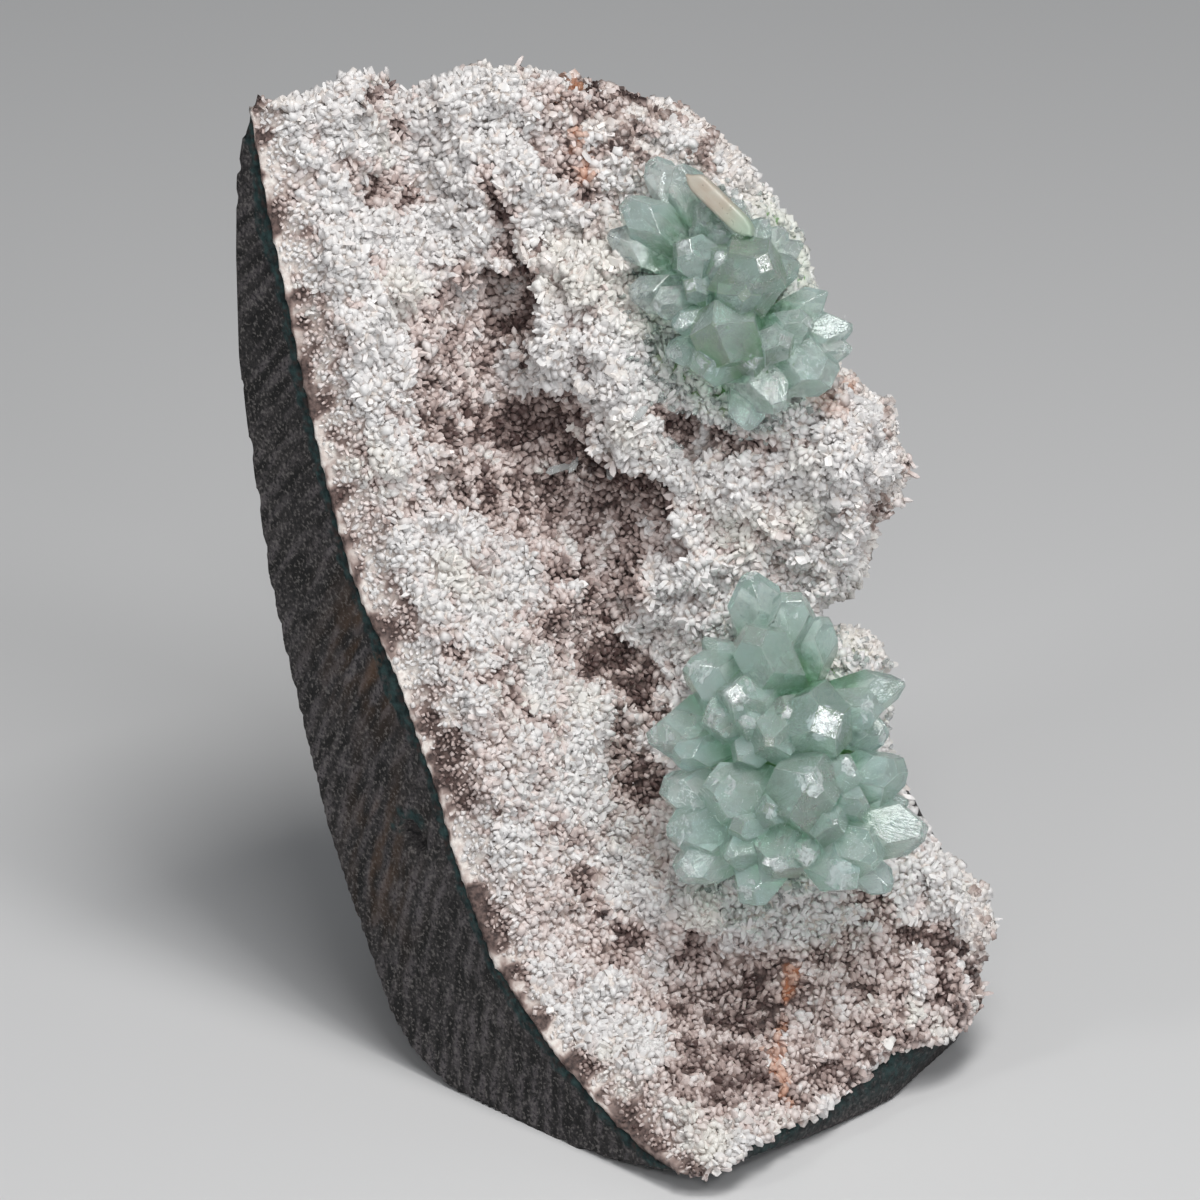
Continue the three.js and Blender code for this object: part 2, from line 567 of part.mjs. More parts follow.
/** A cluster of crystals, each grown from the nearest of the cluster's hearts, joined into one solid. */
function growCluster({ hearts, tips, core, seed }) {
  const random = randomFrom(seed);
  const middle = new THREE.IcosahedronGeometry(1, 1);
  middle.scale(...core.size);
  middle.translate(...core.centre);
  let cluster = solidOf(middle);
  for (const [x, y, z, width, blunt = 0.35 + 0.6 * random()] of tips) {
    const tip = new THREE.Vector3(x, y, z);
    const root = hearts.reduce((a, b) => (a.distanceTo(tip) < b.distanceTo(tip) ? a : b));
    cluster = cluster.add(crystal({ root, tip, width, blunt, random }));
  }
  return mainBody(cluster.subtract(crustBlock(GAP)));
}

// x, y, z of each crystal's tip, its width, and how blunt its point is.
const lowerTips = [
  // the upper sheaf
  [26.7, 4.6, 4, 9.6, 0.6], [34.2, 0.6, 8, 8, 0.9], [40.4, -3.4, 7, 6.6, 0.7], [27.4, -6.5, 20, 9.8, 0.8],
  [16, -12, 12, 8.6], [18.5, -7, 5, 5.6], [24, -16.5, 19, 9.6, 0.7], [19.5, -21, 15, 7, 0.8],
  [25.5, -22, 19, 6.4], [30, -25.5, 21.5, 8.6, 0.5], [33.5, -20, 18, 6], [40.5, -22, 21.5, 11.2, 0.9],
  [49, -19, 14, 7], [54.6, -15, 8, 6.2, 0.3], [51, -24.5, 6, 6],
  // the lower sheaf
  [37.5, -31, 27, 12.4, 0.35], [20, -32.6, 19, 10.4, 0.6], [8.8, -24.5, 6, 10, 0.5], [11.5, -33.5, 6, 7.4],
  [53.8, -29.6, 12, 8.6, 0.8], [55, -36, 8, 5.4], [57.8, -41.5, 10, 9.4, 0.6], [41.8, -39.5, 22, 6.6, 0.5],
  [49, -47, 18, 9.8, 0.5], [44.5, -50.5, 17, 10, 0.7], [31.5, -47.5, 20, 9.4, 0.3], [22.3, -46, 16, 7.6],
  [26.3, -53, 12, 7.6], [12.6, -41.5, 12, 10.4, 0.5], [14, -48.5, 8, 7.4], [16.3, -36.6, 12, 4],
  [52, -51.5, 7, 5.6],
  // the small ones between them
  [25, -28.5, 17.5, 6.6], [30, -37, 20, 5.6], [44.5, -29.5, 18, 6.4], [47, -35.5, 17.5, 5.6],
  [24.5, -40, 17, 5.8], [36.5, -46, 18, 5.4], [13.5, -28.5, 9, 5.4],
];
const upperTips = [
  // the upper sheaf
  [9.3, 79, 6, 5.4], [14, 77.6, 9, 6.8, 0.6], [4.4, 71, 11, 7.6, 0.7], [1.4, 65.5, 7, 6],
  [14.8, 63, 17, 7, 0.9], [16.2, 56, 15.5, 5.4], [22, 60.8, 18.5, 7.2], [29.3, 60, 23.5, 11, 0.6],
  [24.4, 71.4, 8, 5.6], [18, 71, 10, 6], [21.3, 67, 12, 6], [35.5, 60, 14, 6], [36.4, 64, 5, 4.6],
  [33, 66.6, 5, 4.8], [29.5, 68, 8, 5],
  // the lower sheaf
  [25.6, 54, 22, 7.4, 0.6], [10, 52.6, 13, 6, 0.8], [20.2, 48.6, 24.5, 11, 0.3], [13.6, 48.4, 14.5, 4.4],
  [18, 41.8, 15, 9.2, 0.8], [40.8, 55.2, 10, 6, 0.2], [44.9, 49, 9, 7, 0.6], [44.8, 44.8, 9, 5.6],
  [41, 40.6, 13, 9.6, 0.9], [32.2, 34.4, 12, 9.2, 0.6], [26.6, 31, 8, 6], [37, 49.5, 16, 6],
  [5.4, 54.8, 7, 6.4], [27, 42.5, 15.5, 6], [33, 46, 17.5, 6.4], [12, 44, 9, 5.6],
];

const lowerCluster = growCluster({
  hearts: [new THREE.Vector3(34, -21, -5), new THREE.Vector3(35, -39, -5)],
  tips: lowerTips,
  core: { centre: [35, -28, -4], size: [12, 18, 9] },
  seed: 11,
});

/** The stilbite blade: a flat six-sided lath, made larger by a clearance all round to cut its own bed. */
function stilbiteBlade(clearance) {
  const [length, width, thickness] = [17, 4.4, 2.2];
  const half = width / 2 + clearance;
  const reach = length / 2 + clearance;
  const outline = new THREE.Shape([
    new THREE.Vector2(-reach, -0.35 * half), new THREE.Vector2(-reach + 1.6, -half),
    new THREE.Vector2(reach - 1.1, -half), new THREE.Vector2(reach, -0.2 * half),
    new THREE.Vector2(reach - 0.8, half), new THREE.Vector2(-reach + 2.2, half),
  ]);
  const blade = new THREE.ExtrudeGeometry(outline, {
    depth: thickness + 2 * clearance,
    bevelThickness: 0.4,
    bevelSize: 0.4,
    bevelOffset: -0.4,
    bevelSegments: 1,
  });
  blade.translate(0, 0, -thickness / 2 - clearance);
  blade.rotateX(0.25);
  blade.rotateY(-0.18);
  blade.rotateZ(-0.78);
  blade.translate(21.4, 70.6, 14.5);
  return solidOf(blade);
}

const upperCluster = mainBody(
  growCluster({
    hearts: [new THREE.Vector3(23, 56, 0), new THREE.Vector3(26, 46, 0)],
    tips: upperTips,
    core: { centre: [23, 51, 1], size: [11, 14, 8] },
    seed: 5,
  }).subtract(stilbiteBlade(GAP)),
);

// ---------------------------------------------------------------------------------------------------------
// The specimen

const specimen = new THREE.Group();
specimen.rotation.x = Math.PI / 2 - LEAN;

/** Adds one piece, with its own material, to the specimen. */
function addPiece(name, solid, color, roughness) {
  const mesh = new THREE.Mesh(
    geometryOf(solid),
    new THREE.MeshStandardMaterial({ color, roughness, metalness: 0, flatShading: true }),
  );
  mesh.name = name;
  specimen.add(mesh);
}

addPiece("basalt_matrix", makeBasalt(), 0x565254, 0.95);
addPiece("white_crystal_crust", makeCrust(), 0xd9cfca, 0.6);
addPiece("apophyllite_cluster_upper", upperCluster, 0xa9d6bd, 0.12);
addPiece("apophyllite_cluster_lower", lowerCluster, 0xa9d6bd, 0.12);
addPiece("stilbite_blade", stilbiteBlade(0), 0xd9c2a6, 0.4);

// The origin is the middle of the foot's box.
const root = new THREE.Group();
root.add(specimen);
root.updateMatrixWorld(true);
const box = new THREE.Box3().setFromObject(root, true);
specimen.position.set(-(box.min.x + box.max.x) / 2, -(box.min.y + box.max.y) / 2, -box.min.z);

export default root;
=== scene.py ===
# A hand specimen of green apophyllite: two radiating clusters and a blade of stilbite on a white druse,
# which lines one wall of a hollow in a block of basalt. The block stands on its sawn foot.
import json
import math

import bmesh
import bpy
import numpy as np
from mathutils import Matrix, Quaternion, Vector, noise
from mathutils.bvhtree import BVHTree
from mathutils.kdtree import KDTree

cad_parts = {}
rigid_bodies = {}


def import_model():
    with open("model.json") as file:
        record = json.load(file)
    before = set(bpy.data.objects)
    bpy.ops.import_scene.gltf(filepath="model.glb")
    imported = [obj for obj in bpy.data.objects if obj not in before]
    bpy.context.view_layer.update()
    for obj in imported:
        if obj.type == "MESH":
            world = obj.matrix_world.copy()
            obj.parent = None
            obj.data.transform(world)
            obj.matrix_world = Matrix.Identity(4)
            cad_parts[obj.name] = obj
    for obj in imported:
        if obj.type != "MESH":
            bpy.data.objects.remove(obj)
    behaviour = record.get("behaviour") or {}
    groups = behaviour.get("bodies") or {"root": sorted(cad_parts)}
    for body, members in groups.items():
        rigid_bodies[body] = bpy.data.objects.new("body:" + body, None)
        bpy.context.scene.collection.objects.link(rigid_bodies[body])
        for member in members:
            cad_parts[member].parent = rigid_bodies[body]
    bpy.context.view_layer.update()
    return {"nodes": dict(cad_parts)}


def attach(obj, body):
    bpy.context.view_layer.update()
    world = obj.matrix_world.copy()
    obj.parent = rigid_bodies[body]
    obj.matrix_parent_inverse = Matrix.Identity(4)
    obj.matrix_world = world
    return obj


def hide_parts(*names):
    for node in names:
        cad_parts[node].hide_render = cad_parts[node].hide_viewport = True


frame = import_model()
scene = bpy.context.scene

# --------------------------------------------------------------------------------------------------
# The room: a plain pale floor, seven soft boxes and a soft grey surround. The specimen leans 25 degrees
# back, and the camera looks straight at its crystal face, a metre and a half away.

LEAN = math.radians(25)
# The crystal face's own frame, in millimetres from this middle point: x to the right, y up the face, z out.
FACE_MIDDLE = Vector((-2.835, 0.69, 89.566))
FACE_TURN = Matrix.Rotation(math.pi / 2 - LEAN, 3, "X")
CAMERA_DISTANCE = 1500  # millimetres
FLOOR_REACH = 4  # metres to each side
LIGHTS_AIM = Vector((0, 0, 0.09))  # the middle of the specimen, in metres


def face_to_world(point):
    """A point of the face frame in millimetres, as a place in the room in metres."""
    return (FACE_TURN @ Vector(point) + FACE_MIDDLE) / 1000


def placed(name, data):
    """A new object in the scene."""
    thing = bpy.data.objects.new(name, data)
    scene.collection.objects.link(thing)
    return thing


def set_inputs(node, values):
    """Gives plain values or links to a node's named or numbered inputs."""
    for key, value in values.items():
        if isinstance(value, bpy.types.NodeSocket):
            node.id_data.links.new(value, node.inputs[key])
        else:
            node.inputs[key].default_value = value


def new_material(name):
    """A new material: (material, its node tree, its Principled BSDF)."""
    material = bpy.data.materials.new(name)
    material.use_nodes = True
    return material, material.node_tree, material.node_tree.nodes["Principled BSDF"]


camera = placed("camera", bpy.data.cameras.new("camera"))
camera.location = face_to_world((0, 0, CAMERA_DISTANCE))
camera.rotation_euler = (math.pi / 2 - LEAN, 0, 0)
camera.data.lens = 250
camera.data.sensor_width = 36
scene.camera = camera

floor_corners = [(a * FLOOR_REACH, b * FLOOR_REACH, 0) for a, b in ((-1, -1), (1, -1), (1, 1), (-1, 1))]
floor_mesh = bpy.data.meshes.new("floor")
floor_mesh.from_pydata(floor_corners, [], [(0, 1, 2, 3)])
floor = placed("floor", floor_mesh)
paper, _, surface = new_material("floor paper")
set_inputs(surface, {"Base Color": (0.66, 0.66, 0.665, 1), "Roughness": 0.8})
floor_mesh.materials.append(paper)

# Where each light stands, how wide it is, in metres, its power in watts and its colour.
for name, place, size, power, colour in [
    ("key light", (0.2, -0.3, 1.15), 0.34, 6.4, (1, 0.99, 0.97)),
    ("high right light", (0.63, -0.68, 0.93), 0.2, 2.1, (1, 1, 1)),
    ("right light", (0.63, -1.01, 0.43), 0.2, 2.0, (0.97, 0.98, 1)),
    ("high front light", (0.08, -0.7, 1.08), 0.34, 3.4, (1, 1, 1)),
    ("near front light", (0.01, -1.07, 0.66), 0.18, 0.7, (1, 1, 1)),
    ("left light", (-0.79, -0.6, 0.75), 0.18, 1.4, (1, 1, 1)),
    ("low front light", (-0.29, -1.18, 0.16), 0.15, 0.8, (1, 1, 1)),
]:
    light = placed(name, bpy.data.lights.new(name, "AREA"))
    light.data.shape = "SQUARE"
    light.data.size = size
    light.data.energy = power
    light.data.color = colour
    light.location = place
    light.rotation_euler = (LIGHTS_AIM - Vector(place)).to_track_quat("-Z", "Y").to_euler()

world = bpy.data.worlds.new("surround")
world.use_nodes = True
set_inputs(world.node_tree.nodes["Background"], {"Color": (0.9, 0.95, 1, 1), "Strength": 0.13})
scene.world = world
scene.view_settings.view_transform = "Standard"

# --------------------------------------------------------------------------------------------------
# Basalt matrix: one block of fine grey-brown basalt. Its left side and foot are sawn, with the saw's score
# marks, and the rest is broken rock. Teal celadonite skins it where the druse grew, and shows as a thin
# line along the saw cut.

SAW_NORMAL = np.array([-0.69088, -0.72297, 0.0])  # out of the sawn side
SAW_ALONG = np.array([SAW_NORMAL[1], -SAW_NORMAL[0], 0.0])  # level along the sawn side
SAW_CORNER = np.array([15.165, -62.55, 0.0])  # a point of the sawn plane, in millimetres
SAW_CENTRE = (-34, 3)  # of the round saw on that plane: along it from the corner, and up, in millimetres
SAW_RADIUS = 120
SCORE_SPACING = 3.3  # millimetres from one score mark to the next
SCORE_DEPTH = 0.35
SCORE_DEPTH_AT_EDGE = 0.12  # all along the edges of the sawn side, which are straight
SET_BACK = 0.3  # millimetres that the rock's surface lies inside the solid before it is roughened


def points_and_normals(mesh):
    """The vertices, in millimetres, and their normals, as arrays."""
    points = np.empty(3 * len(mesh.vertices))
    normals = np.empty(3 * len(mesh.vertices))
    mesh.vertices.foreach_get("co", points)
    mesh.vertex_normals.foreach_get("vector", normals)
    return points.reshape(-1, 3) * 1000, normals.reshape(-1, 3)


def set_points(mesh, points):
    """Moves the vertices to places in millimetres."""
    mesh.vertices.foreach_set("co", (points / 1000).ravel())
    mesh.update()


def set_attribute(mesh, name, values):
    """Gives every vertex a number, which materials and node trees read by its name."""
    attribute = mesh.attributes.new(name, "FLOAT", "POINT")
    attribute.data.foreach_set("value", np.asarray(values, dtype=np.float32))


def apply_modifiers(piece):
    """Turns a piece and its modifiers into a plain mesh."""
    depsgraph = bpy.context.evaluated_depsgraph_get()
    mesh = bpy.data.meshes.new_from_object(piece.evaluated_get(depsgraph))
    piece.modifiers.clear()
    piece.data = mesh
    return piece


def smooth(mesh, rounds):
    """Moves each vertex half-way to the middle of its neighbours, round after round."""
    bm = bmesh.new()
    bm.from_mesh(mesh)
    for _ in range(rounds):
        bmesh.ops.smooth_vert(
            bm, verts=bm.verts, factor=0.5, use_axis_x=True, use_axis_y=True, use_axis_z=True
        )
    bm.to_mesh(mesh)
    bm.free()


def even_copy(node, name, voxel, shift_corners=None):
    """A copy of a solid, as a new object, with its facets made into an even net of small squares."""
    bm = bmesh.new()
    bm.from_mesh(frame["nodes"][node].data)
    bmesh.ops.remove_doubles(bm, verts=bm.verts, dist=1e-7)
    mesh = bpy.data.meshes.new(name)
    bm.to_mesh(mesh)
    bm.free()
    if shift_corners:
        set_points(mesh, shift_corners(points_and_normals(mesh)[0]))
    solid = BVHTree.FromPolygons([v.co for v in mesh.vertices], [p.vertices[:] for p in mesh.polygons])
    piece = placed(name, mesh)
    even = piece.modifiers.new("even net", "REMESH")
    even.mode = "VOXEL"
    even.voxel_size = voxel
    apply_modifiers(piece)
    # The net steps where it crosses an edge at a slant. Smoothed and laid back onto the solid, it runs
    # nearly straight.
    smooth(piece.data, rounds=5)
    for vertex in piece.data.vertices:
        vertex.co = solid.find_nearest(vertex.co)[0]
    return piece


def smoothstep(value, low, high):
    """A smooth rise from 0 at low to 1 at high."""
    t = np.clip((value - low) / (high - low), 0, 1)
    return t * t * (3 - 2 * t)


def fractal(points, size, octaves, shift=0.0):
    """Layered noise, about -1 to 1, at every point; size is its largest detail in millimetres."""
    scaled = points / size + shift
    return np.array([noise.fractal(Vector(p), 1.0, 2.0, octaves) for p in scaled])


DEEPEST_OVERLAP = 0.0025  # metres; a point farther than this from a neighbour's surface is outside it


def gap_to(tree, points):
    """Distance in millimetres of every point from a closed surface, below 0 if it lies just inside it."""
    gaps = []
    for point in points:
        point = Vector(point / 1000)
        nearest, normal, _, distance = tree.find_nearest(point)
        inside = distance < DEEPEST_OVERLAP and (point - nearest).dot(normal) < -0.3 * distance
        gaps.append(-distance if inside else distance)
    return np.array(gaps) * 1000


def in_face_frame(points):
    """Millimetre places in the room, as x, y, z of the face frame."""
    return (points - np.array(FACE_MIDDLE)) @ np.array(FACE_TURN)


depsgraph = bpy.context.evaluated_depsgraph_get()
crust_tree = BVHTree.FromObject(frame["nodes"]["white_crystal_crust"], depsgraph)
block_tree = BVHTree.FromObject(frame["nodes"]["basalt_matrix"], depsgraph)

# The sawn side has a net twice as fine as the rest, for its score marks.
block = even_copy("basalt_matrix", "basalt_block", voxel=0.0012)
points, normals = points_and_normals(block.data)
from_saw = (points - SAW_CORNER) @ SAW_NORMAL
on_saw = (from_saw > -1.1) & (normals @ SAW_NORMAL > 0.4)
bm = bmesh.new()
bm.from_mesh(block.data)
bm.verts.ensure_lookup_table()
sawn_faces = [f for f in bm.faces if all(on_saw[v.index] for v in f.verts)]
sawn_edges = sorted({e for f in sawn_faces for e in f.edges}, key=lambda e: e.index)
bmesh.ops.subdivide_edges(bm, edges=sawn_edges, cuts=1, use_grid_fill=True)
bmesh.ops.triangulate(bm, faces=[f for f in bm.faces if len(f.verts) > 4])
bm.to_mesh(block.data)
bm.free()

points, normals = points_and_normals(block.data)
from_saw = (points - SAW_CORNER) @ SAW_NORMAL
sawn = smoothstep(from_saw, -1.15, -0.85)
broken = (1 - smoothstep(from_saw, -3, -1)) * (1 - smoothstep(-points[:, 2], -3, -1))
crust_gap = gap_to(crust_tree, points)
x, y = in_face_frame(points)[:, :2].T

# Broken rock: big shells, then hackly grain, always inwards so that the block keeps its size. Each layer
# has its height, its size, how many octaves it has, and a shift.
SHELLS = [(0.9, 17, 3, 0.0), (0.5, 5, 3, 7.3), (0.3, 1.8, 2, 3.1)]
hackle = sum(height * np.abs(fractal(points, *layer)) for height, *layer in SHELLS)
inwards = SET_BACK + (hackle - SET_BACK) * smoothstep(crust_gap, 0.4, 2.0)
points -= normals * (broken * inwards)[:, None]
# The score marks are arcs of the round saw, broken into long pits.
along = (points - SAW_CORNER) @ SAW_ALONG - SAW_CENTRE[0]
up = points[:, 2] - SAW_CENTRE[1]
across = np.hypot(along, up) + 0.2 * fractal(points, 30, 2)
stretched = np.column_stack([across, 0.3 * SAW_RADIUS * np.arctan2(up, along), 0 * across])
ridge = 0.5 + 0.5 * np.cos(2 * np.pi * across / SCORE_SPACING + 0.6 * fractal(points, 10, 2, 4.0))
pits = smoothstep(fractal(stretched, 2.2, 3, 5.0), 0.05, 0.6) * (1 - 0.6 * ridge)
score = 0.35 + 0.5 * ridge * (0.6 + 0.6 * fractal(points, 9, 2, 2.0))
score = np.clip(score + 0.25 * fractal(stretched, 1.4, 3, 1.0) - pits, 0, 1)
# The marks fade out towards the edges of the sawn side.
unsawn = KDTree(int((sawn < 0.5).sum()))
for number, point in enumerate(points[sawn < 0.5]):
    unsawn.insert(point, number)
unsawn.balance()
to_edge = np.array([unsawn.find(point)[2] if s >= 0.5 else 0.0 for point, s in zip(points, sawn)])
depth = SCORE_DEPTH * (1 - score) - SCORE_DEPTH_AT_EDGE
depth = SCORE_DEPTH_AT_EDGE + depth * smoothstep(to_edge, 1.5, 7)
points += SAW_NORMAL * (sawn * (-SET_BACK - from_saw - depth))[:, None]
set_points(block.data, points)

# How much celadonite shows: a narrow line along the druse, a pit, and the broken lower front. The line is
# wider round some places on the crystal face, each with its spread and by how much.
WIDER = [(-58.5, 67, 4, 3.2), (-35.5, -14, 5, 2.8), (-50, 40, 6, 1), (-8, -72, 8, 0.8)]
wide = sum(
    extra * np.exp(-((x - px) ** 2 + (y - py) ** 2) / (2 * spread**2)) for px, py, spread, extra in WIDER
)
shown = smoothstep(from_saw, -9, -6) + (1 - smoothstep(y, -84, -76))
skin = 1 - smoothstep(crust_gap + 1.1 * fractal(points, 3, 3, 9.0), 0.9 + wide, 1.5 + wide)
skin = np.maximum(skin, broken * 0.85 * (1 - smoothstep(crust_gap + 4 * fractal(points, 12, 3, 2.0), 2, 9)))
pit = 1 - smoothstep(np.hypot(x + 34.5, y + 40) + 1.2 * fractal(points, 2.5, 2), 2, 3.2)
set_attribute(block.data, "celadonite", np.maximum(skin * np.clip(shown, 0, 1), pit * sawn))
set_attribute(block.data, "hidden", 1 - smoothstep(crust_gap, 0.5, 0.9))
set_attribute(block.data, "score", sawn * score + (1 - sawn) * 0.45)
rusty = np.exp(-((x + 41) ** 2 / 60 + (y + 8) ** 2 / 130))
rusty += 0.6 * np.exp(-((x + 40) ** 2 / 30 + (y + 46) ** 2 / 250))
set_attribute(block.data, "rust", sawn * rusty * smoothstep(fractal(stretched, 3.5, 3, 8.0), -0.3, 0.5))
block.data.shade_smooth()


def add_node(tree, kind, values=None, **settings):
    """Adds a node with its settings, and what its inputs get."""
    node = tree.nodes.new(kind)
    for key, value in settings.items():
        setattr(node, key, value)
    set_inputs(node, values or {})
    return node


def blend(tree, factor, first, second):
    """The colour that mixes two colours by a factor."""
    mix = add_node(tree, "ShaderNodeMix", {"Factor": factor}, data_type="RGBA")
    for key, value in ((6, first), (7, second)):  # the numbers of its two colour inputs
        set_inputs(mix, {key: (*value, 1) if isinstance(value, tuple) else value})
    return mix.outputs[2]


def graded(tree, value, low, high, to_low=0.0, to_high=1.0):
    """A value stretched so that low to high becomes to_low to to_high."""
    return add_node(
        tree, "ShaderNodeMapRange",
        {"Value": value, "From Min": low, "From Max": high, "To Min": to_low, "To Max": to_high},
    ).outputs["Result"]


def calculated(tree, operation, *values):
    """What an operation such as MULTIPLY makes of plain values or links."""
    return add_node(tree, "ShaderNodeMath", dict(enumerate(values)), operation=operation).outputs[0]


def attribute(tree, name):
    """The number that the mesh holds under a name."""
    return add_node(tree, "ShaderNodeAttribute", attribute_name=name).outputs["Fac"]


def new_group(name, kind, takes, gives):
    """A node group with named inputs and outputs, each of its kind: (group, its inputs, its outputs)."""
    group = bpy.data.node_groups.new(name, kind)
    for in_out, sockets in (("INPUT", takes), ("OUTPUT", gives)):
        for label, socket in sockets.items():
            group.interface.new_socket(label, in_out=in_out, socket_type="NodeSocket" + socket)
    return group, group.nodes.new("NodeGroupInput").outputs, group.nodes.new("NodeGroupOutput").inputs


# The grain that the minerals' materials share: noise on the piece's own place.
GRAIN, given, result = new_group(
    "grain", "ShaderNodeTree",
    {"Scale": "Float", "Detail": "Float", "Roughness": "Float"}, {"Amount": "Float"},
)
waves = add_node(GRAIN, "ShaderNodeTexNoise", {
    "Vector": add_node(GRAIN, "ShaderNodeTexCoord").outputs["Object"],
    "Scale": given["Scale"], "Detail": given["Detail"], "Roughness": given["Roughness"],
})
GRAIN.links.new(waves.outputs["Fac"], result["Amount"])


def grain(tree, scale, detail=3.0, roughness=0.55):
    """Places the grain in a material; scale is in waves per metre."""
    values = {"Scale": scale, "Detail": detail, "Roughness": roughness}
    return add_node(tree, "ShaderNodeGroup", values, node_tree=GRAIN).outputs["Amount"]


def mottled(tree, scale, detail, low, high, first, second):
    """Two colours that follow the grain, the first where it is low and the second where it is high."""
    return blend(tree, graded(tree, grain(tree, scale, detail), low, high), first, second)


def laid_over(tree, colour, layers):
    """A colour with others laid over it in turn. Each layer has the value that it follows, where that value
    brings it in, where it is at its most, how much that is, and its colour."""
    for value, low, high, most, over in layers:
        colour = blend(tree, graded(tree, value, low, high, 0, most), colour, over)
    return colour


basalt, tree, surface = new_material("basalt")
speck = grain(tree, 1500, 2)
score_mark = attribute(tree, "score")
stone = mottled(tree, 60, 4, 0.35, 0.65, (0.027, 0.025, 0.026), (0.046, 0.042, 0.042))
pores = grain(tree, 850, 4, 0.7)
# The score marks are lighter on their ridges and nearly black in their pits: painted light and painted
# shade that follow their relief.
stone = laid_over(tree, stone, [
    (score_mark, 0.4, 0.85, 0.85, (0.125, 0.112, 0.118)),
    (score_mark, 0.38, 0.05, 0.85, (0.008, 0.008, 0.008)),
    (pores, 0.57, 0.64, 0.8, (0.006, 0.006, 0.006)),
    (speck, 0.54, 0.66, 0.8, (0.15, 0.14, 0.135)),
    (speck, 0.46, 0.36, 0.8, (0.008, 0.008, 0.009)),
    (attribute(tree, "rust"), 0, 1, 0.7, (0.11, 0.06, 0.032)),
])
stone = blend(tree, attribute(tree, "hidden"), stone, (0.035, 0.022, 0.02))
teal = mottled(tree, 600, 4, 0.38, 0.68, (0.004, 0.012, 0.013), (0.032, 0.068, 0.068))
patchy = graded(tree, grain(tree, 700, 3), 0.3, 0.55)
skin = calculated(tree, "MULTIPLY", attribute(tree, "celadonite"), patchy)
bump = add_node(tree, "ShaderNodeBump", {"Height": speck, "Distance": 0.0003, "Strength": 0.7})
set_inputs(surface, {
    "Base Color": blend(tree, skin, stone, teal), "Roughness": graded(tree, speck, 0.3, 0.7, 0.7, 0.92),
    "Specular IOR Level": 0.3, "Normal": bump.outputs["Normal"],
})
block.data.materials.clear()
block.data.materials.append(basalt)
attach(block, "root")
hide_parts("basalt_matrix")

# --------------------------------------------------------------------------------------------------
# Crust: the massive lower part of the druse, brownish and porous. The crystals of the next section grow
# out of it and reach the level of the solid crust, so this is that solid, taken down by the length of a
# crystal.

CRYSTAL_LENGTH = 1.2  # millimetres from the crust to the crystals' points
RIM_THICKNESS = 1.5  # of the crust where the saw cut it, from where it thickens as fast as it goes in
INTO_BLOCK = 1.5  # millimetres that the crust's back goes into the block


def let_into_block(points):
    """The crust's back goes a little way into the block, so that no gap is left, but not at the rim."""
    moved = []
    for point in points:
        nearest, _, _, distance = block_tree.find_nearest(Vector(point / 1000))
        into = np.array(nearest) * 1000 - point
        from_rim = -(point - SAW_CORNER) @ SAW_NORMAL
        if 0.1 < 1000 * distance < 0.7:
            point = point + INTO_BLOCK * smoothstep(from_rim, 0.5, 4) * into / (1000 * distance)
        moved.append(point)
    return np.array(moved)


def thinned_at_rim(points):
    """Towards the sawn rim the crust comes down to a thin edge."""
    from_rim = -(points - SAW_CORNER) @ SAW_NORMAL
    moved = points.copy()
    for index in np.nonzero(from_rim < 6)[0]:
        nearest, _, _, distance = block_tree.find_nearest(Vector(points[index] / 1000))
        most = RIM_THICKNESS + max(0, from_rim[index])
        if 1000 * distance > most:
            moved[index] += (np.array(nearest) * 1000 - points[index]) * (1 - most / (1000 * distance))
    return moved


def lumps(points, size, shift):
    """Rounded lumps like a cauliflower's: 0 on their crowns, 1 in the creases between them."""
    result = []
    for point in points / size + shift:
        place = Vector(point)
        # Not noise.noise_vector, whose numbers are new each time that Blender starts.
        bend = Vector([noise.noise(1.5 * place + Vector((apart,) * 3)) for apart in (0.0, 17.3, 31.7)])
        near, far = noise.voronoi(place + 0.3 * bend)[0][:2]
        result.append((near / far) ** 3)
    return np.array(result)


def from_line(line, x, y):
    """Distance from a line of points, seen along the face frame's z."""
    nearest = np.full(len(x), 1e9)
    for (ax, ay), (bx, by) in zip(line[:-1], line[1:]):
        length2 = (bx - ax) ** 2 + (by - ay) ** 2
        t = np.clip(((x - ax) * (bx - ax) + (y - ay) * (by - ay)) / length2, 0, 1)
        nearest = np.minimum(nearest, np.hypot(x - ax - t * (bx - ax), y - ay - t * (by - ay)))
    return nearest


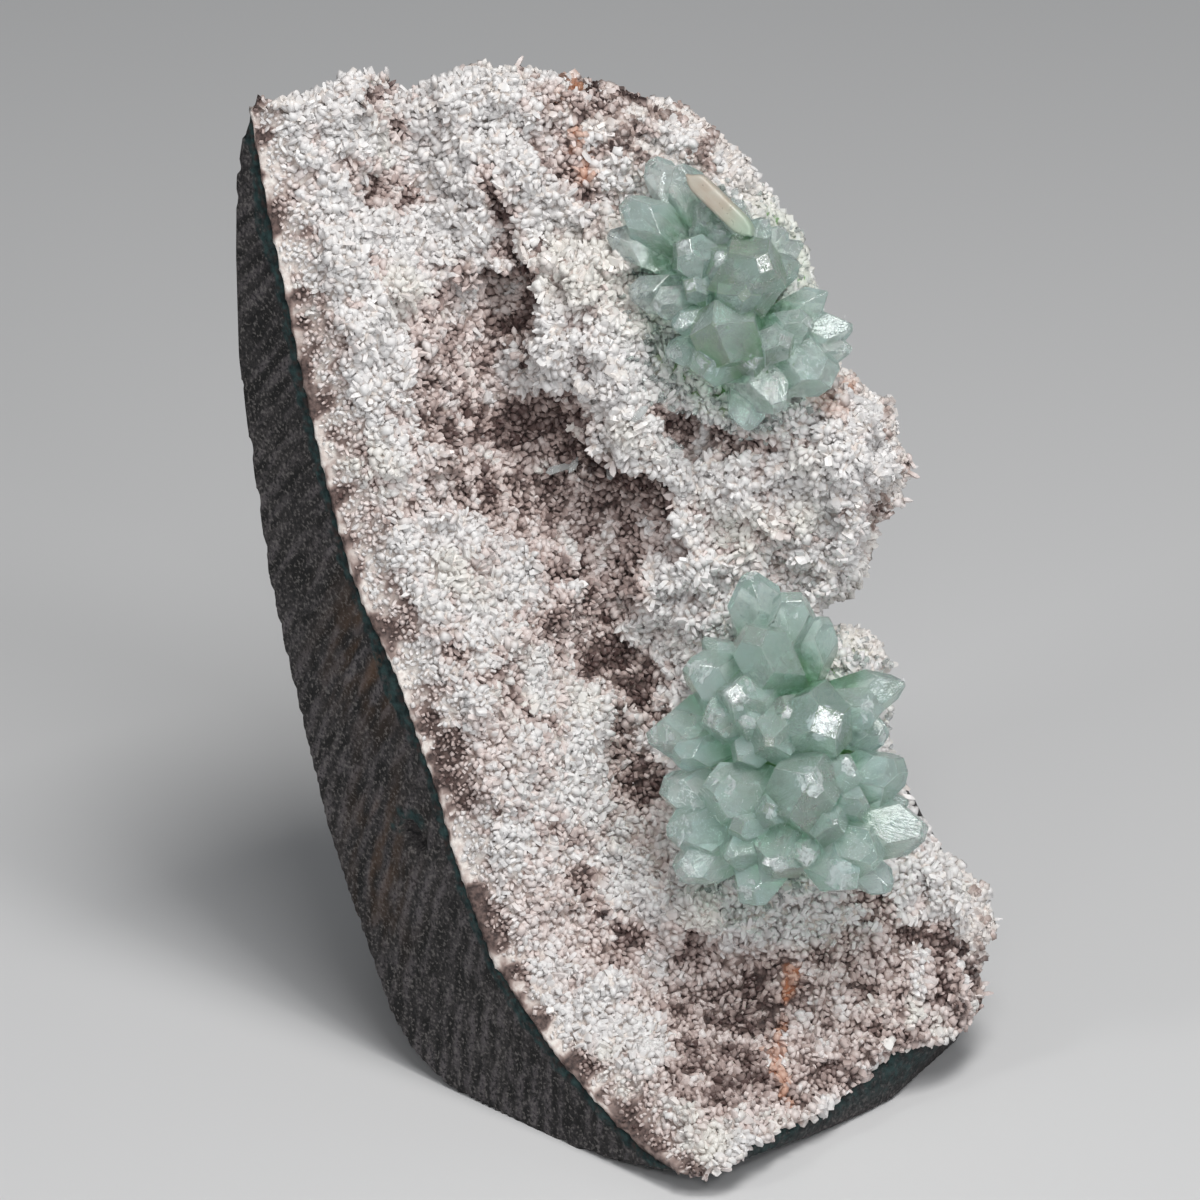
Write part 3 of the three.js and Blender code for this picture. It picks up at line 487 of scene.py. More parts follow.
# Where the druse is thin and stained brown, as bands on the crystal face: half width, how brown, how much
# deeper, and the middle line. First the furrow from the top down, then the gaps between the knobs, the
# pockets and the flat at the lower right.
STAINED = [
    (1.6, 0.9, 3, [(-39, 92), (-38, 88), (-36, 83)]),
    (4.0, 0.75, 0, [(-41, 75), (-36, 73)]),
    (3.2, 0.6, 1, [(-27, 59), (-20, 56)]),
    (7.2, 0.7, 0, [(-24, 51), (-25, 41)]),
    (4.3, 1, 3, [(-26, 32), (-16, 31), (-9, 32)]),
    (7.6, 0.8, 0, [(-20, 23), (-7, 18), (4, 13)]),
    (6.1, 0.9, 0, [(-5, 5), (2, 1)]),
    (4.3, 0.8, 0, [(-9, -4), (-5, -6)]),
    (4.0, 1, 2, [(0, -9), (6, -13), (8, -19)]),
    (3.8, 0.95, 2, [(5, -26), (7, -34)]),
    (3.1, 0.6, 1, [(-6, -38), (-2, -45)]),
    (2.9, 0.8, 1, [(-1, -50), (1, -59), (6, -62)]),
    (2.8, 1, 3, [(-20, 74), (-17, 66), (-16, 54), (-17, 48)]),
    (2.5, 1, 4, [(-7, 27), (-2, 20), (9, 19), (10, 14)]),
    (2.7, 1, 4, [(12, 38), (17, 30), (31, 28)]),
    (2.5, 1, 3, [(50, -53), (53, -61), (64, -64)]),
    (2.2, 0.4, 1, [(-23, 79), (-21, 77)]),
    (4.3, 0.85, 0, [(-9, 90), (6, 89)]),
    (3.2, 0.75, 1, [(-8, 81), (0, 71)]),
    (2.5, 0.6, 0, [(1, 81), (10, 86)]),
    (1.8, 0.35, 1, [(28, 23), (32, 16), (36, 9)]),
    (1.4, 0.7, 1, [(49, 16), (51, 14)]),
    (2.3, 0.75, 1, [(-26, -9), (-17, -13)]),
    (1.4, 0.5, 1, [(-17, -18), (-7, -22)]),
    (2.2, 0.6, 1, [(0, -89), (8, -94)]),
    (6.5, 0.85, 0, [(19, -68), (19, -84)]),
    (6.8, 0.72, 0, [(29, -71), (51, -66)]),
    (6.5, 0.72, 0, [(26, -79), (55, -78)]),
    (4.7, 0.72, 0, [(62, -66), (68, -76)]),
    (4.3, 0.85, 0, [(20, -87), (47, -85)]),
    (2.7, 0.5, 0, [(26, -92), (29, -94)]),
]
RIM_STAIN = 4.5  # how far in from the sawn rim the crust is stained as well, here and there
# Iron-brown streaks, as middle lines on the crystal face, and one spot.
IRON = [
    [(-6, 94), (-5, 88), (-4, 84), (-3, 80), (0, 76)],
    [(34, -67), (33, -75), (32, -82), (34, -89)],
]
IRON_SPOT = (42, 37)
# The clusters' seats on the crystal face: middle, half width and half height.
SEATS = [(24, 52, 16, 21), (34, -28, 19, 25)]
# The heights on the crystal face where the druse right of the furrow is parted into pieces.
TOP_FROM = 44
KNOBS_FROM = -12

crust = even_copy("white_crystal_crust", "druse_crust", voxel=0.001, shift_corners=let_into_block)
set_points(crust.data, thinned_at_rim(points_and_normals(crust.data)[0]))
points, normals = points_and_normals(crust.data)
from_saw = (points - SAW_CORNER) @ SAW_NORMAL
block_gap = gap_to(block_tree, points)
x, y = in_face_frame(points)[:, :2].T
wander = fractal(points, 7, 3, 1.5)
brown = np.zeros(len(x))
deeper = np.zeros(len(x))
for half_width, strength, depth, line in STAINED:
    away = from_line(line, x, y) / half_width + wander * min(0.9, 1.6 / half_width + 0.25)
    brown = np.maximum(brown, strength * (1 - smoothstep(away, 0.7, 1.25)))
    deeper = np.maximum(deeper, depth * (1 - smoothstep(away, 0.2, 1.2)))
seat = np.full(len(x), 9.0)
for cx, cy, rx, ry in SEATS:
    seat = np.minimum(seat, np.hypot((x - cx) / rx, (y - cy) / ry))
brown *= smoothstep(seat, 1.0, 1.2)
deeper *= smoothstep(seat, 1.0, 1.2)
along_rim = smoothstep(fractal(points, 7, 3, 12.0), -0.3, 0.25)
brown = np.maximum(brown, along_rim * (1 - smoothstep(-from_saw + 1.5 * wander, 0.6, RIM_STAIN)))
cut_edge = smoothstep(from_saw, -1.2, -0.7) * smoothstep(normals @ SAW_NORMAL, 0.5, 0.8)
outer = smoothstep(block_gap, 0.3, 0.9)
big_creases = smoothstep(lumps(points, 9.0, 0.0), 0.05, 0.8)
small_creases = smoothstep(lumps(points, 3.3, 11.0), 0.05, 0.8)
creases = 0.5 * big_creases + 0.5 * small_creases
relief = np.clip(0.45 * block_gap, 0.8, 3.0) * big_creases + 1.1 * small_creases
drop = CRYSTAL_LENGTH + relief + deeper
drop = np.minimum(drop, np.maximum(block_gap - 0.4, 0.2)) * (1 - cut_edge) + 0.3 * cut_edge
points -= normals * (outer * drop)[:, None]
set_points(crust.data, points)

points, normals = points_and_normals(crust.data)
block_gap = gap_to(block_tree, points)
# Painted shade: the creases between the lumps are browned, partly stain and partly the shade that falls in
# them.
crease_shade = 0.5 * smoothstep(creases, 0.55, 0.95) * smoothstep(seat, 1.0, 1.3)
# The stain comes in pockets. The left of the druse is flushed with pink, and the knobs are not.
pockets = fractal(points, 3.6, 3, 33.0)
to_left = -(x + 0.55 * y + 12)
blush = smoothstep(fractal(points, 14, 3, 20.0), -0.1, 0.5) * (0.06 + 0.26 * smoothstep(to_left, -12, 6))
# Painted shade: the deep hollows get more brown.
hollow = 0.55 * smoothstep(deeper, 0.6, 2.2) * smoothstep(pockets, -0.5, 0.0)
brown = brown * (0.62 + 0.4 * wander + 0.9 * pockets) + np.maximum(crease_shade * (0.6 + wander), blush)
brown = np.clip(brown + hollow, 0, 1)
iron = np.zeros(len(x))
for streak in IRON:
    away = from_line(streak, x, y) + 2.2 * fractal(points, 2.5, 3, 6.0)
    iron = np.maximum(iron, 1 - smoothstep(away, -0.2, 1.2))
away = np.hypot(x - IRON_SPOT[0], y - IRON_SPOT[1]) + 2.5 * fractal(points, 3, 3)
iron = np.maximum(iron, 0.5 * (1 - smoothstep(away, 1, 5)))
# Crystals grow wherever the crust is free, smaller where it is stained and at the sawn rim, but not on a
# cut nor under the clusters.
free = smoothstep(block_gap, 0.1, 0.5) * (1 - smoothstep(from_saw + 0.4 * wander, -1.0, -0.6))
free *= smoothstep(seat, 0.45, 0.6)
left = to_left > 0
for name, values in [
    ("brown", brown),
    ("iron", iron),
    ("grain_size", (1.0 - 0.2 * brown) * (0.62 + 0.38 * smoothstep(-from_saw, 1.2, 4))),
    ("yellow", smoothstep(fractal(points, 16, 2, 4.4), 0.1, 0.7)),
    # The clusters' seats: under them the crust is painted dark green as shade among the crystals' roots,
    # and the druse round them takes painted green light.
    ("green", 1 - smoothstep(seat, 0.75, 1.05)),
    ("on_left_ridge", free * left),
    ("on_top", free * (~left & (y > TOP_FROM))),
    ("on_right_knobs", free * (~left & (y <= TOP_FROM) & (y > KNOBS_FROM))),
    ("on_lower_right", free * (~left & (y <= KNOBS_FROM))),
    ("round_seats", free * (1 - smoothstep(seat, 1.0, 1.25))),
]:
    set_attribute(crust.data, name, values)
crust.data.shade_smooth()

crust_stone, tree, surface = new_material("crust")
crust_stain_and_shade = attribute(tree, "brown")
pale = mottled(tree, 900, 3, 0.35, 0.65, (0.6, 0.52, 0.48), (0.8, 0.76, 0.72))
dark = mottled(tree, 1100, 3, 0.35, 0.65, (0.035, 0.021, 0.019), (0.15, 0.1, 0.088))
# Where the brown is strong the crust goes dark brown to nearly black: partly stain, partly painted shade in
# the creases and hollows and between the crystals.
colour = laid_over(tree, pale, [
    (crust_stain_and_shade, 0.12, 0.45, 1, (0.33, 0.25, 0.225)),
    (crust_stain_and_shade, 0.4, 0.75, 1, dark),
])
# Painted shade: under the clusters the crust is dark green, for the gaps among the crystals' roots.
colour = blend(tree, attribute(tree, "green"), colour, (0.17, 0.32, 0.13))
colour = blend(tree, attribute(tree, "iron"), colour, (0.45, 0.17, 0.08))
pits = grain(tree, 1200, 3)
bump = add_node(tree, "ShaderNodeBump", {"Height": pits, "Distance": 0.0004, "Strength": 0.8})
set_inputs(surface, {"Base Color": colour, "Roughness": 0.7, "Normal": bump.outputs["Normal"]})
crust.data.materials.clear()
crust.data.materials.append(crust_stone)
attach(crust, "root")
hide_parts("white_crystal_crust")

# --------------------------------------------------------------------------------------------------
# Druse: tens of thousands of stilbite and heulandite crystals, white to pinkish brown, one to two
# millimetres long, which stand out of the crust at all angles.

SUNK = 0.7  # millimetres of a crystal's foot that are in the crust
SHOULDER = 0.68  # share of a crystal's length up to where it is widest


def druse_crystal(name, width, depth, length, top, slant, soft):
    """One small crystal, up the z axis from its foot: it widens to a shoulder and narrows to a slanting
    top, which is a share of its width across. Soft ones have rounded edges."""
    tiers = [(0.8, 0.0, 0.0), (1.0, SHOULDER * length, 0.4 * slant * width), (top, length, slant * width)]
    corners = []
    for share, height, drop in tiers:
        w, d = share * width / 2, share * depth / 2
        corners += [(-w, -d, height), (w, -d, height - drop), (w, d, height - drop), (-w, d, height)]
    sides = [(3, 2, 1, 0), (8, 9, 10, 11)]
    for low in (0, 4):
        sides += [(low + k, low + (k + 1) % 4, low + 4 + (k + 1) % 4, low + 4 + k) for k in range(4)]
    mesh = bpy.data.meshes.new(name)
    mesh.from_pydata([(a / 1000, b / 1000, (c - SUNK) / 1000) for a, b, c in corners], [], sides)
    set_attribute(mesh, "up", [max(c, 0) / length for _, _, c in corners])
    if soft:
        mesh.shade_smooth()
    return bpy.data.objects.new(name, mesh)


def collected(name, forms):
    """A new collection of objects."""
    collection = bpy.data.collections.new(name)
    for form in forms:
        collection.objects.link(form)
    return collection


# The forms that the crystals come in: width, depth, length, top, slant, and whether they are soft.
BLUNT = [
    (1.35, 0.8, 2.2, 0.62, 0.3, False),
    (1.0, 0.95, 2.3, 0.6, 0.4, True),
    (1.6, 0.85, 2.0, 0.66, 0.2, False),
    (0.8, 0.7, 2.6, 0.5, 0.5, False),
    (1.6, 1.25, 1.9, 0.7, 0.2, True),
    (1.25, 0.7, 2.1, 0.7, 0.45, False),
    (1.2, 1.0, 2.1, 0.6, 0.4, True),
]
CLEAR = [
    (1.0, 0.9, 2.4, 0.6, 0.3, False),
    (0.8, 0.8, 2.9, 0.5, 0.4, False),
    (1.3, 1.0, 2.2, 0.6, 0.2, False),
]
blunt_forms, clear_forms = (
    collected(f"{kind} forms", [druse_crystal(f"{kind}_{n}", *form) for n, form in enumerate(forms, 1)])
    for kind, forms in (("blunt", BLUNT), ("clear", CLEAR))
)

# The tree that grows crystals on a surface: points spread evenly, one crystal on each, leaning at random.
growth, given, result = new_group("grow crystals", "GeometryNodeTree", {
    "Geometry": "Geometry", "Forms": "Collection", "Where": "String", "Spacing": "Float",
    "Density": "Float", "Lean": "Float", "Smallest": "Float", "Largest": "Float", "Seed": "Int",
    "Material": "Material",
}, {"Geometry": "Geometry"})


def named(name):
    """The number that the surface holds under a name."""
    node = add_node(growth, "GeometryNodeInputNamedAttribute", {"Name": name}, data_type="FLOAT")
    return node.outputs["Attribute"]


spread = add_node(growth, "GeometryNodeDistributePointsOnFaces", {
    "Mesh": given["Geometry"], "Distance Min": given["Spacing"], "Density Max": given["Density"],
    "Density Factor": named(given["Where"]), "Seed": given["Seed"],
}, distribute_method="POISSON")
shade = add_node(growth, "FunctionNodeRandomValue", {"Seed": 3}, data_type="FLOAT")
marked = add_node(growth, "GeometryNodeStoreNamedAttribute", {
    "Geometry": spread.outputs["Points"], "Name": "shade", "Value": shade.outputs[1],
}, data_type="FLOAT", domain="POINT")
back = calculated(growth, "MULTIPLY", given["Lean"], -1.0)
least = add_node(growth, "ShaderNodeCombineXYZ", {"X": back, "Y": back})
most = add_node(growth, "ShaderNodeCombineXYZ", {"X": given["Lean"], "Y": given["Lean"], "Z": 2 * math.pi})
lean = add_node(growth, "FunctionNodeRandomValue", {
    0: least.outputs[0], 1: most.outputs[0], "Seed": 5,
}, data_type="FLOAT_VECTOR")
lean = add_node(growth, "FunctionNodeEulerToRotation", {"Euler": lean.outputs[0]})
turned = add_node(growth, "FunctionNodeRotateRotation", {
    "Rotation": spread.outputs["Rotation"], "Rotate By": lean.outputs[0],
}, rotation_space="LOCAL")
size = add_node(growth, "FunctionNodeRandomValue", {
    2: given["Smallest"], 3: given["Largest"], "Seed": 7,
}, data_type="FLOAT")
form = add_node(growth, "GeometryNodeCollectionInfo", {
    "Collection": given["Forms"], "Separate Children": True, "Reset Children": True,
})
# The pick goes round and round the forms, so a long run of numbers picks each about as often.
pick = add_node(growth, "FunctionNodeRandomValue", {4: 0, 5: 59, "Seed": 9}, data_type="INT")
stand = add_node(growth, "GeometryNodeInstanceOnPoints", {
    "Points": marked.outputs[0], "Instance": form.outputs[0], "Pick Instance": True,
    "Instance Index": pick.outputs[2], "Rotation": turned.outputs[0],
    "Scale": calculated(growth, "MULTIPLY", size.outputs[1], named("grain_size")),
})
plain = add_node(growth, "GeometryNodeRealizeInstances", {"Geometry": stand.outputs[0]})
dressed = add_node(growth, "GeometryNodeSetMaterial", {
    "Geometry": plain.outputs[0], "Material": given["Material"],
})
growth.links.new(dressed.outputs[0], result[0])


def grow(name, on, values, material):
    """Grows crystals on a piece, as a new plain piece. values go to the tree's named inputs."""
    piece = placed(name, on.data.copy())
    modifier = piece.modifiers.new("crystals", "NODES")
    modifier.node_group = growth
    values = {**values, "Material": material}
    for item in growth.interface.items_tree:
        if item.item_type == "SOCKET" and item.in_out == "INPUT" and item.name in values:
            modifier[item.identifier] = values[item.name]
    return apply_modifiers(piece)


druse_white, tree, surface = new_material("druse crystals")
shade = attribute(tree, "shade")
brown = attribute(tree, "brown")
white = blend(tree, shade, (0.71, 0.69, 0.685), (0.76, 0.75, 0.745))
# Each crystal takes up more or less of the stain and painted shade: white, then beige, then pinkish brown,
# then nearly black.
stain_and_shade = calculated(tree, "MULTIPLY_ADD", brown, 0.95, graded(tree, shade, 0, 1, -0.14, 0.14))
tip_colour = laid_over(tree, white, [
    (attribute(tree, "yellow"), 0, 1, 0.4, (0.74, 0.71, 0.62)),
    (stain_and_shade, 0.1, 0.35, 1, (0.68, 0.595, 0.57)),
    (stain_and_shade, 0.4, 0.7, 1, (0.44, 0.345, 0.32)),
    (stain_and_shade, 0.75, 1.0, 1, (0.12, 0.078, 0.072)),
])
# The crystals' feet go brown to nearly black where the brown is strong, partly stain and partly painted
# shade in the gaps between the crystals; their tips are laid over them.
colour = laid_over(tree, (0.75, 0.71, 0.68), [
    (brown, 0.05, 0.35, 1, (0.4, 0.31, 0.28)),
    (brown, 0.35, 0.65, 1, (0.045, 0.027, 0.025)),
    (attribute(tree, "up"), 0.1, 0.5, 1, tip_colour),
    # Painted green light from the clusters tinges the crystals round their seats.
    (attribute(tree, "green"), 0, 1, 0.3, (0.52, 0.68, 0.55)),
    (attribute(tree, "iron"), 0.05, 0.7, 0.7, (0.54, 0.27, 0.165)),
])
dull = graded(tree, grain(tree, 1300, 2), 0.35, 0.65, 0.3, 0.55)
set_inputs(surface, {"Base Color": colour, "Roughness": dull, "Specular IOR Level": 0.5})

DENSE = {
    "Forms": blunt_forms, "Spacing": 0.00073, "Density": 3e6,
    "Lean": 0.95, "Smallest": 0.6, "Largest": 1.25,
}
for number, (name, where) in enumerate([
    ("druse_left_ridge", "on_left_ridge"), ("druse_top", "on_top"), ("druse_right_knobs", "on_right_knobs"),
    ("druse_lower_right", "on_lower_right"),
]):
    piece = grow(name, crust, {**DENSE, "Where": where, "Seed": 20 + number}, druse_white)
    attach(piece, "root")

# --------------------------------------------------------------------------------------------------
# Apophyllite: two clusters of pale green square crystals, each crystal grown out from one of the
# cluster's two hearts. They are clear near the points and greener and cloudier towards the root.

POINT_SLOPE = math.radians(60.4)  # of the point faces against the end face


def random_from(seed):
    """A repeatable run of numbers from 0 to 1."""
    state = seed

    def draw():
        nonlocal state
        state = (state + 0x6D2B79F5) & 0xFFFFFFFF
        t = ((state ^ (state >> 15)) * (1 | state)) & 0xFFFFFFFF
        t = ((t + (((t ^ (t >> 7)) * (61 | t)) & 0xFFFFFFFF)) & 0xFFFFFFFF) ^ t
        return (t ^ (t >> 14)) / 4294967296

    return draw


def convex_corners(planes):
    """The corners of the solid inside a set of planes, each a normal and its distance from the origin."""
    normals = np.array([n for n, _ in planes])
    offsets = np.array([d for _, d in planes])
    corners = []
    for i in range(len(planes)):
        for j in range(i):
            for k in range(j):
                three = normals[[i, j, k]]
                if abs(np.linalg.det(three)) < 1e-4:
                    continue
                corner = np.linalg.solve(three, offsets[[i, j, k]])
                if np.all(normals @ corner <= offsets + 1e-6):
                    corners.append(corner)
    return corners


def crystal_planes(length, width, blunt, random):
    """A crystal's faces, each a normal and its distance from the root, with the length along z: a square
    prism with four point faces, cut off square by its end face."""
    half = width / 2
    narrowing = 0.25 * half / length
    planes = []

    def add_plane(normal, through):
        normal = Vector(normal).normalized()
        planes.append((np.array(normal), normal.dot(Vector(through))))

    for side in range(4):
        turn = side * math.pi / 2
        out = half * (0.95 + 0.25 * random())
        place = (math.cos(turn) * out, math.sin(turn) * out, length - half)
        add_plane((math.cos(turn), math.sin(turn), -narrowing), place)
        slant, rise = turn + math.pi / 4, math.sin(POINT_SLOPE)
        apex = (0, 0, length + half * (blunt - 0.3 * random()))
        add_plane((math.cos(slant) * rise, math.sin(slant) * rise, math.cos(POINT_SLOPE)), apex)
    add_plane((0, 0, 1), (0, 0, length))
    add_plane((0, 0, -1), (0, 0, 0))
    return planes


def apophyllite(name, root, tip, width, blunt, random):
    """One crystal from root to tip, in the face frame: an object, and what its faces are known by."""
    length = (tip - root).length
    planes = crystal_planes(length, width, blunt, random)
    along = (tip - root).normalized()
    turned = Vector((0, 0, 1)).rotation_difference(along) @ Quaternion((0, 0, 1), random() * math.pi)
    bm = bmesh.new()
    for corner in convex_corners(planes):
        bm.verts.new(corner)
    bmesh.ops.remove_doubles(bm, verts=bm.verts, dist=0.02)
    bmesh.ops.convex_hull(bm, input=bm.verts)
    bmesh.ops.dissolve_limit(bm, angle_limit=0.01, verts=bm.verts, edges=bm.edges)
    bmesh.ops.bevel(
        bm, geom=bm.edges, offset=min(0.14, 0.025 * width), segments=1, affect="EDGES", clamp_overlap=True
    )
    bmesh.ops.recalc_face_normals(bm, faces=bm.faces)
    for v in bm.verts:
        v.co = face_to_world(turned @ v.co + root)
    mesh = bpy.data.meshes.new(name)
    bm.to_mesh(mesh)
    bm.free()
    piece = bpy.data.objects.new(name, mesh)
    turn = np.array(FACE_TURN @ turned.to_matrix())
    start = np.array(face_to_world(root)) * 1000
    shade = random_from(int(1000 * width + 31 * abs(tip.x)))()
    normals, offsets = (np.array(values) for values in zip(*planes))
    return piece, (start, turn, normals, offsets, length, shade)


def mark_growth(mesh, crystals):
    """Gives every face corner its place along its crystal, the crystal's shade, and a map up the face."""
    middles = np.array([p.center for p in mesh.polygons]) * 1000
    misfit = np.array([
        np.abs(((middles - start) @ turn @ normals.T - offsets).max(axis=1))
        for start, turn, normals, offsets, _, _ in crystals
    ])
    owners = misfit.argmin(axis=0)
    values = {"along": [], "shade": [], "pearly": []}
    growth_map = []
    for face in mesh.polygons:
        start, turn, _, _, length, shade = crystals[owners[face.index]]
        normal = Vector(np.array(face.normal) @ turn)
        sideways = Vector((0, 0, 1)).cross(normal)
        sideways = sideways.normalized() if sideways.length > 0.05 else Vector((1, 0, 0))
        # The end face and the edges get a painted pearly sheen, the sloping faces less and the sides least,
        # each to its own degree.
        on_side, on_point = abs(normal.z) < 0.12, abs(normal.z - math.cos(POINT_SLOPE)) < 0.06
        own = abs(math.sin(9 * normal.x + 5 * shade))
        sheen_amount = 0.2 * own if on_side else 0.1 + 0.5 * own if on_point else 1.0
        for corner in face.loop_indices:
            vertex = mesh.vertices[mesh.loops[corner].vertex_index]
            place = Vector((np.array(vertex.co) * 1000 - start) @ turn)
            values["along"].append(place.z / length)
            values["shade"].append(shade)
            values["pearly"].append(sheen_amount)
            growth_map += [place.dot(sideways) + 7 * shade, place.dot(normal.cross(sideways))]
    for label, numbers in values.items():
        mesh.attributes.new(label, "FLOAT", "CORNER").data.foreach_set("value", numbers)
    mesh.uv_layers.new(name="growth").data.foreach_set("uv", growth_map)


def nearest_heart(hearts, tip):
    """Where the crystal with this tip has its root."""
    return min((Vector(h) for h in hearts), key=lambda h: (h - tip).length)


def grow_cluster(name, hearts, tips, seed):
    """A cluster as one solid. Each tip has its x, y and z on the face, the crystal's width, and for some
    how blunt the point is."""
    random = random_from(seed)
    crystals = []
    pieces = []
    for number, (x, y, z, width, *blunt) in enumerate(tips):
        blunt = blunt[0] if blunt else 0.35 + 0.6 * random()
        tip = Vector((x, y, z))
        root = nearest_heart(hearts, tip)
        piece, crystal = apophyllite(f"{name}_{number}", root, tip, width, blunt, random)
        scene.collection.objects.link(piece)
        pieces.append(piece)
        crystals.append(crystal)
    others = collected(name, pieces[1:])
    cluster = pieces[0]
    cluster.name = name
    join = cluster.modifiers.new("grown together", "BOOLEAN")
    join.operation = "UNION"
    join.solver = "EXACT"
    join.operand_type = "COLLECTION"
    join.collection = others
    apply_modifiers(cluster)
    for piece in pieces[1:]:
        bpy.data.objects.remove(piece)
    bpy.data.collections.remove(others)
    mark_growth(cluster.data, crystals)
    return cluster


LOWER_TIPS = [
    (26.7, 4.6, 4, 9.6, 0.6), (34.2, 0.6, 8, 8, 0.9), (40.4, -3.4, 7, 6.6, 0.7),
    (27.4, -6.5, 20, 9.8, 0.8), (16, -12, 12, 8.6), (18.5, -7, 5, 5.6), (24, -16.5, 19, 9.6, 0.7),
    (19.5, -21, 15, 7, 0.8), (25.5, -22, 19, 6.4), (30, -25.5, 21.5, 8.6, 0.5), (33.5, -20, 18, 6),
    (40.5, -22, 21.5, 11.2, 0.9), (49, -19, 14, 7), (54.6, -15, 8, 6.2, 0.3), (51, -24.5, 6, 6),
    (37.5, -31, 27, 12.4, 0.35), (20, -32.6, 19, 10.4, 0.6), (8.8, -24.5, 6, 10, 0.5),
    (11.5, -33.5, 6, 7.4), (53.8, -29.6, 12, 8.6, 0.8), (55, -36, 8, 5.4),
    (57.8, -41.5, 10, 9.4, 0.6), (41.8, -39.5, 22, 6.6, 0.5), (49, -47, 18, 9.8, 0.5),
    (44.5, -50.5, 17, 10, 0.7), (31.5, -47.5, 20, 9.4, 0.3), (22.3, -46, 16, 7.6),
    (26.3, -53, 12, 7.6), (12.6, -41.5, 12, 10.4, 0.5), (14, -48.5, 8, 7.4), (16.3, -36.6, 12, 4),
    (52, -51.5, 7, 5.6), (25, -28.5, 17.5, 6.6), (30, -37, 20, 5.6), (44.5, -29.5, 18, 6.4),
    (47, -35.5, 17.5, 5.6), (24.5, -40, 17, 5.8), (36.5, -46, 18, 5.4), (13.5, -28.5, 9, 5.4),
]
UPPER_TIPS = [
    (9.3, 79, 6, 5.4), (14, 77.6, 9, 6.8, 0.6), (4.4, 71, 11, 7.6, 0.7), (1.4, 65.5, 7, 6),
    (14.8, 63, 17, 7, 0.9), (16.2, 56, 15.5, 5.4), (22, 60.8, 18.5, 7.2), (29.3, 60, 23.5, 11, 0.6),
    (24.4, 71.4, 8, 5.6), (18, 71, 10, 6), (21.3, 67, 12, 6), (35.5, 60, 14, 6), (36.4, 64, 5, 4.6),
    (33, 66.6, 5, 4.8), (29.5, 68, 8, 5), (25.6, 54, 22, 7.4, 0.6), (10, 52.6, 13, 6, 0.8),
    (20.2, 48.6, 24.5, 11, 0.3), (13.6, 48.4, 14.5, 4.4), (18, 41.8, 15, 9.2, 0.8),
    (40.8, 55.2, 10, 6, 0.2), (44.9, 49, 9, 7, 0.6), (44.8, 44.8, 9, 5.6), (41, 40.6, 13, 9.6, 0.9),
    (32.2, 34.4, 12, 9.2, 0.6), (26.6, 31, 8, 6), (37, 49.5, 16, 6), (5.4, 54.8, 7, 6.4),
    (27, 42.5, 15.5, 6), (33, 46, 17.5, 6.4), (12, 44, 9, 5.6),
]
LOWER_HEARTS = [(34, -21, -5), (35, -39, -5)]
UPPER_HEARTS = [(23, 56, 0), (26, 46, 0)]
lower = grow_cluster("apophyllite_lower", LOWER_HEARTS, LOWER_TIPS, 11)
upper = grow_cluster("apophyllite_upper", UPPER_HEARTS, UPPER_TIPS, 5)


WITHOUT_FLAWS = 0.35  # share of the crystals
FLAWS = 4  # in each of the others; the last one is a crack


def flake(bm, middle, turn, reach, random):
    """Adds a thin eight-sided flake."""
    rim = [
        turn @ (Vector((math.cos(a), math.sin(a), 0)) * reach * (0.2 + 0.8 * random()))
        for a in (k * math.tau / 8 for k in range(8))
    ]
    thin = turn @ Vector((0, 0, 0.02))
    top = [bm.verts.new(face_to_world(middle + r + thin)) for r in rim]
    low = [bm.verts.new(face_to_world(middle + r - thin)) for r in rim]
    bm.faces.new(top)
    bm.faces.new(low[::-1])
    for k in range(8):
        bm.faces.new([low[k], low[(k + 1) % 8], top[(k + 1) % 8], top[k]])


def cleavage_veils(name, clusters):
    """Thin flat flaws inside most crystals, square to their length as they cleave, and a few cracks."""
    bm = bmesh.new()
    random = random_from(77)
    for hearts, tips in clusters:
        for x, y, z, width, *_ in tips:
            tip = Vector((x, y, z))
            along = (tip - nearest_heart(hearts, tip)).normalized()
            if random() < WITHOUT_FLAWS:
                continue
            for flaw in range(FLAWS):
                crack = flaw == FLAWS - 1
                inward = width * (0.04 + 0.5 * random() ** 1.5)
                reach = (0.16 + 0.2 * random()) * width * min(1, 0.6 + inward / width)
                reach *= 0.6 if crack else 1
                turn = Vector((0, 0, 1)).rotation_difference(along)
                lean = Vector((random() - 0.5, random() - 0.5, random() - 0.5)) * (2.4 if crack else 0.12)
                turn = turn @ Quaternion((1, 0, 0), lean.x) @ Quaternion((0, 1, 0), lean.y)
                sideways = Vector((random() - 0.5, random() - 0.5, 0)) * 0.25 * width
                flake(bm, tip - along * inward + turn @ sideways, turn, reach, random)
    mesh = bpy.data.meshes.new(name)
    bm.to_mesh(mesh)
    bm.free()
    return placed(name, mesh)


veils = cleavage_veils("apophyllite_flaws", [(LOWER_HEARTS, LOWER_TIPS), (UPPER_HEARTS, UPPER_TIPS)])
flaw_film, tree, surface = new_material("pearly flaws")
patches = graded(tree, grain(tree, 520, 5, 0.7), 0.46, 0.56, 0, 0.8)
set_inputs(surface, {"Base Color": (0.97, 1.0, 1.0, 1), "Roughness": 0.18, "Alpha": patches})
veils.data.materials.append(flaw_film)
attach(veils, "root")

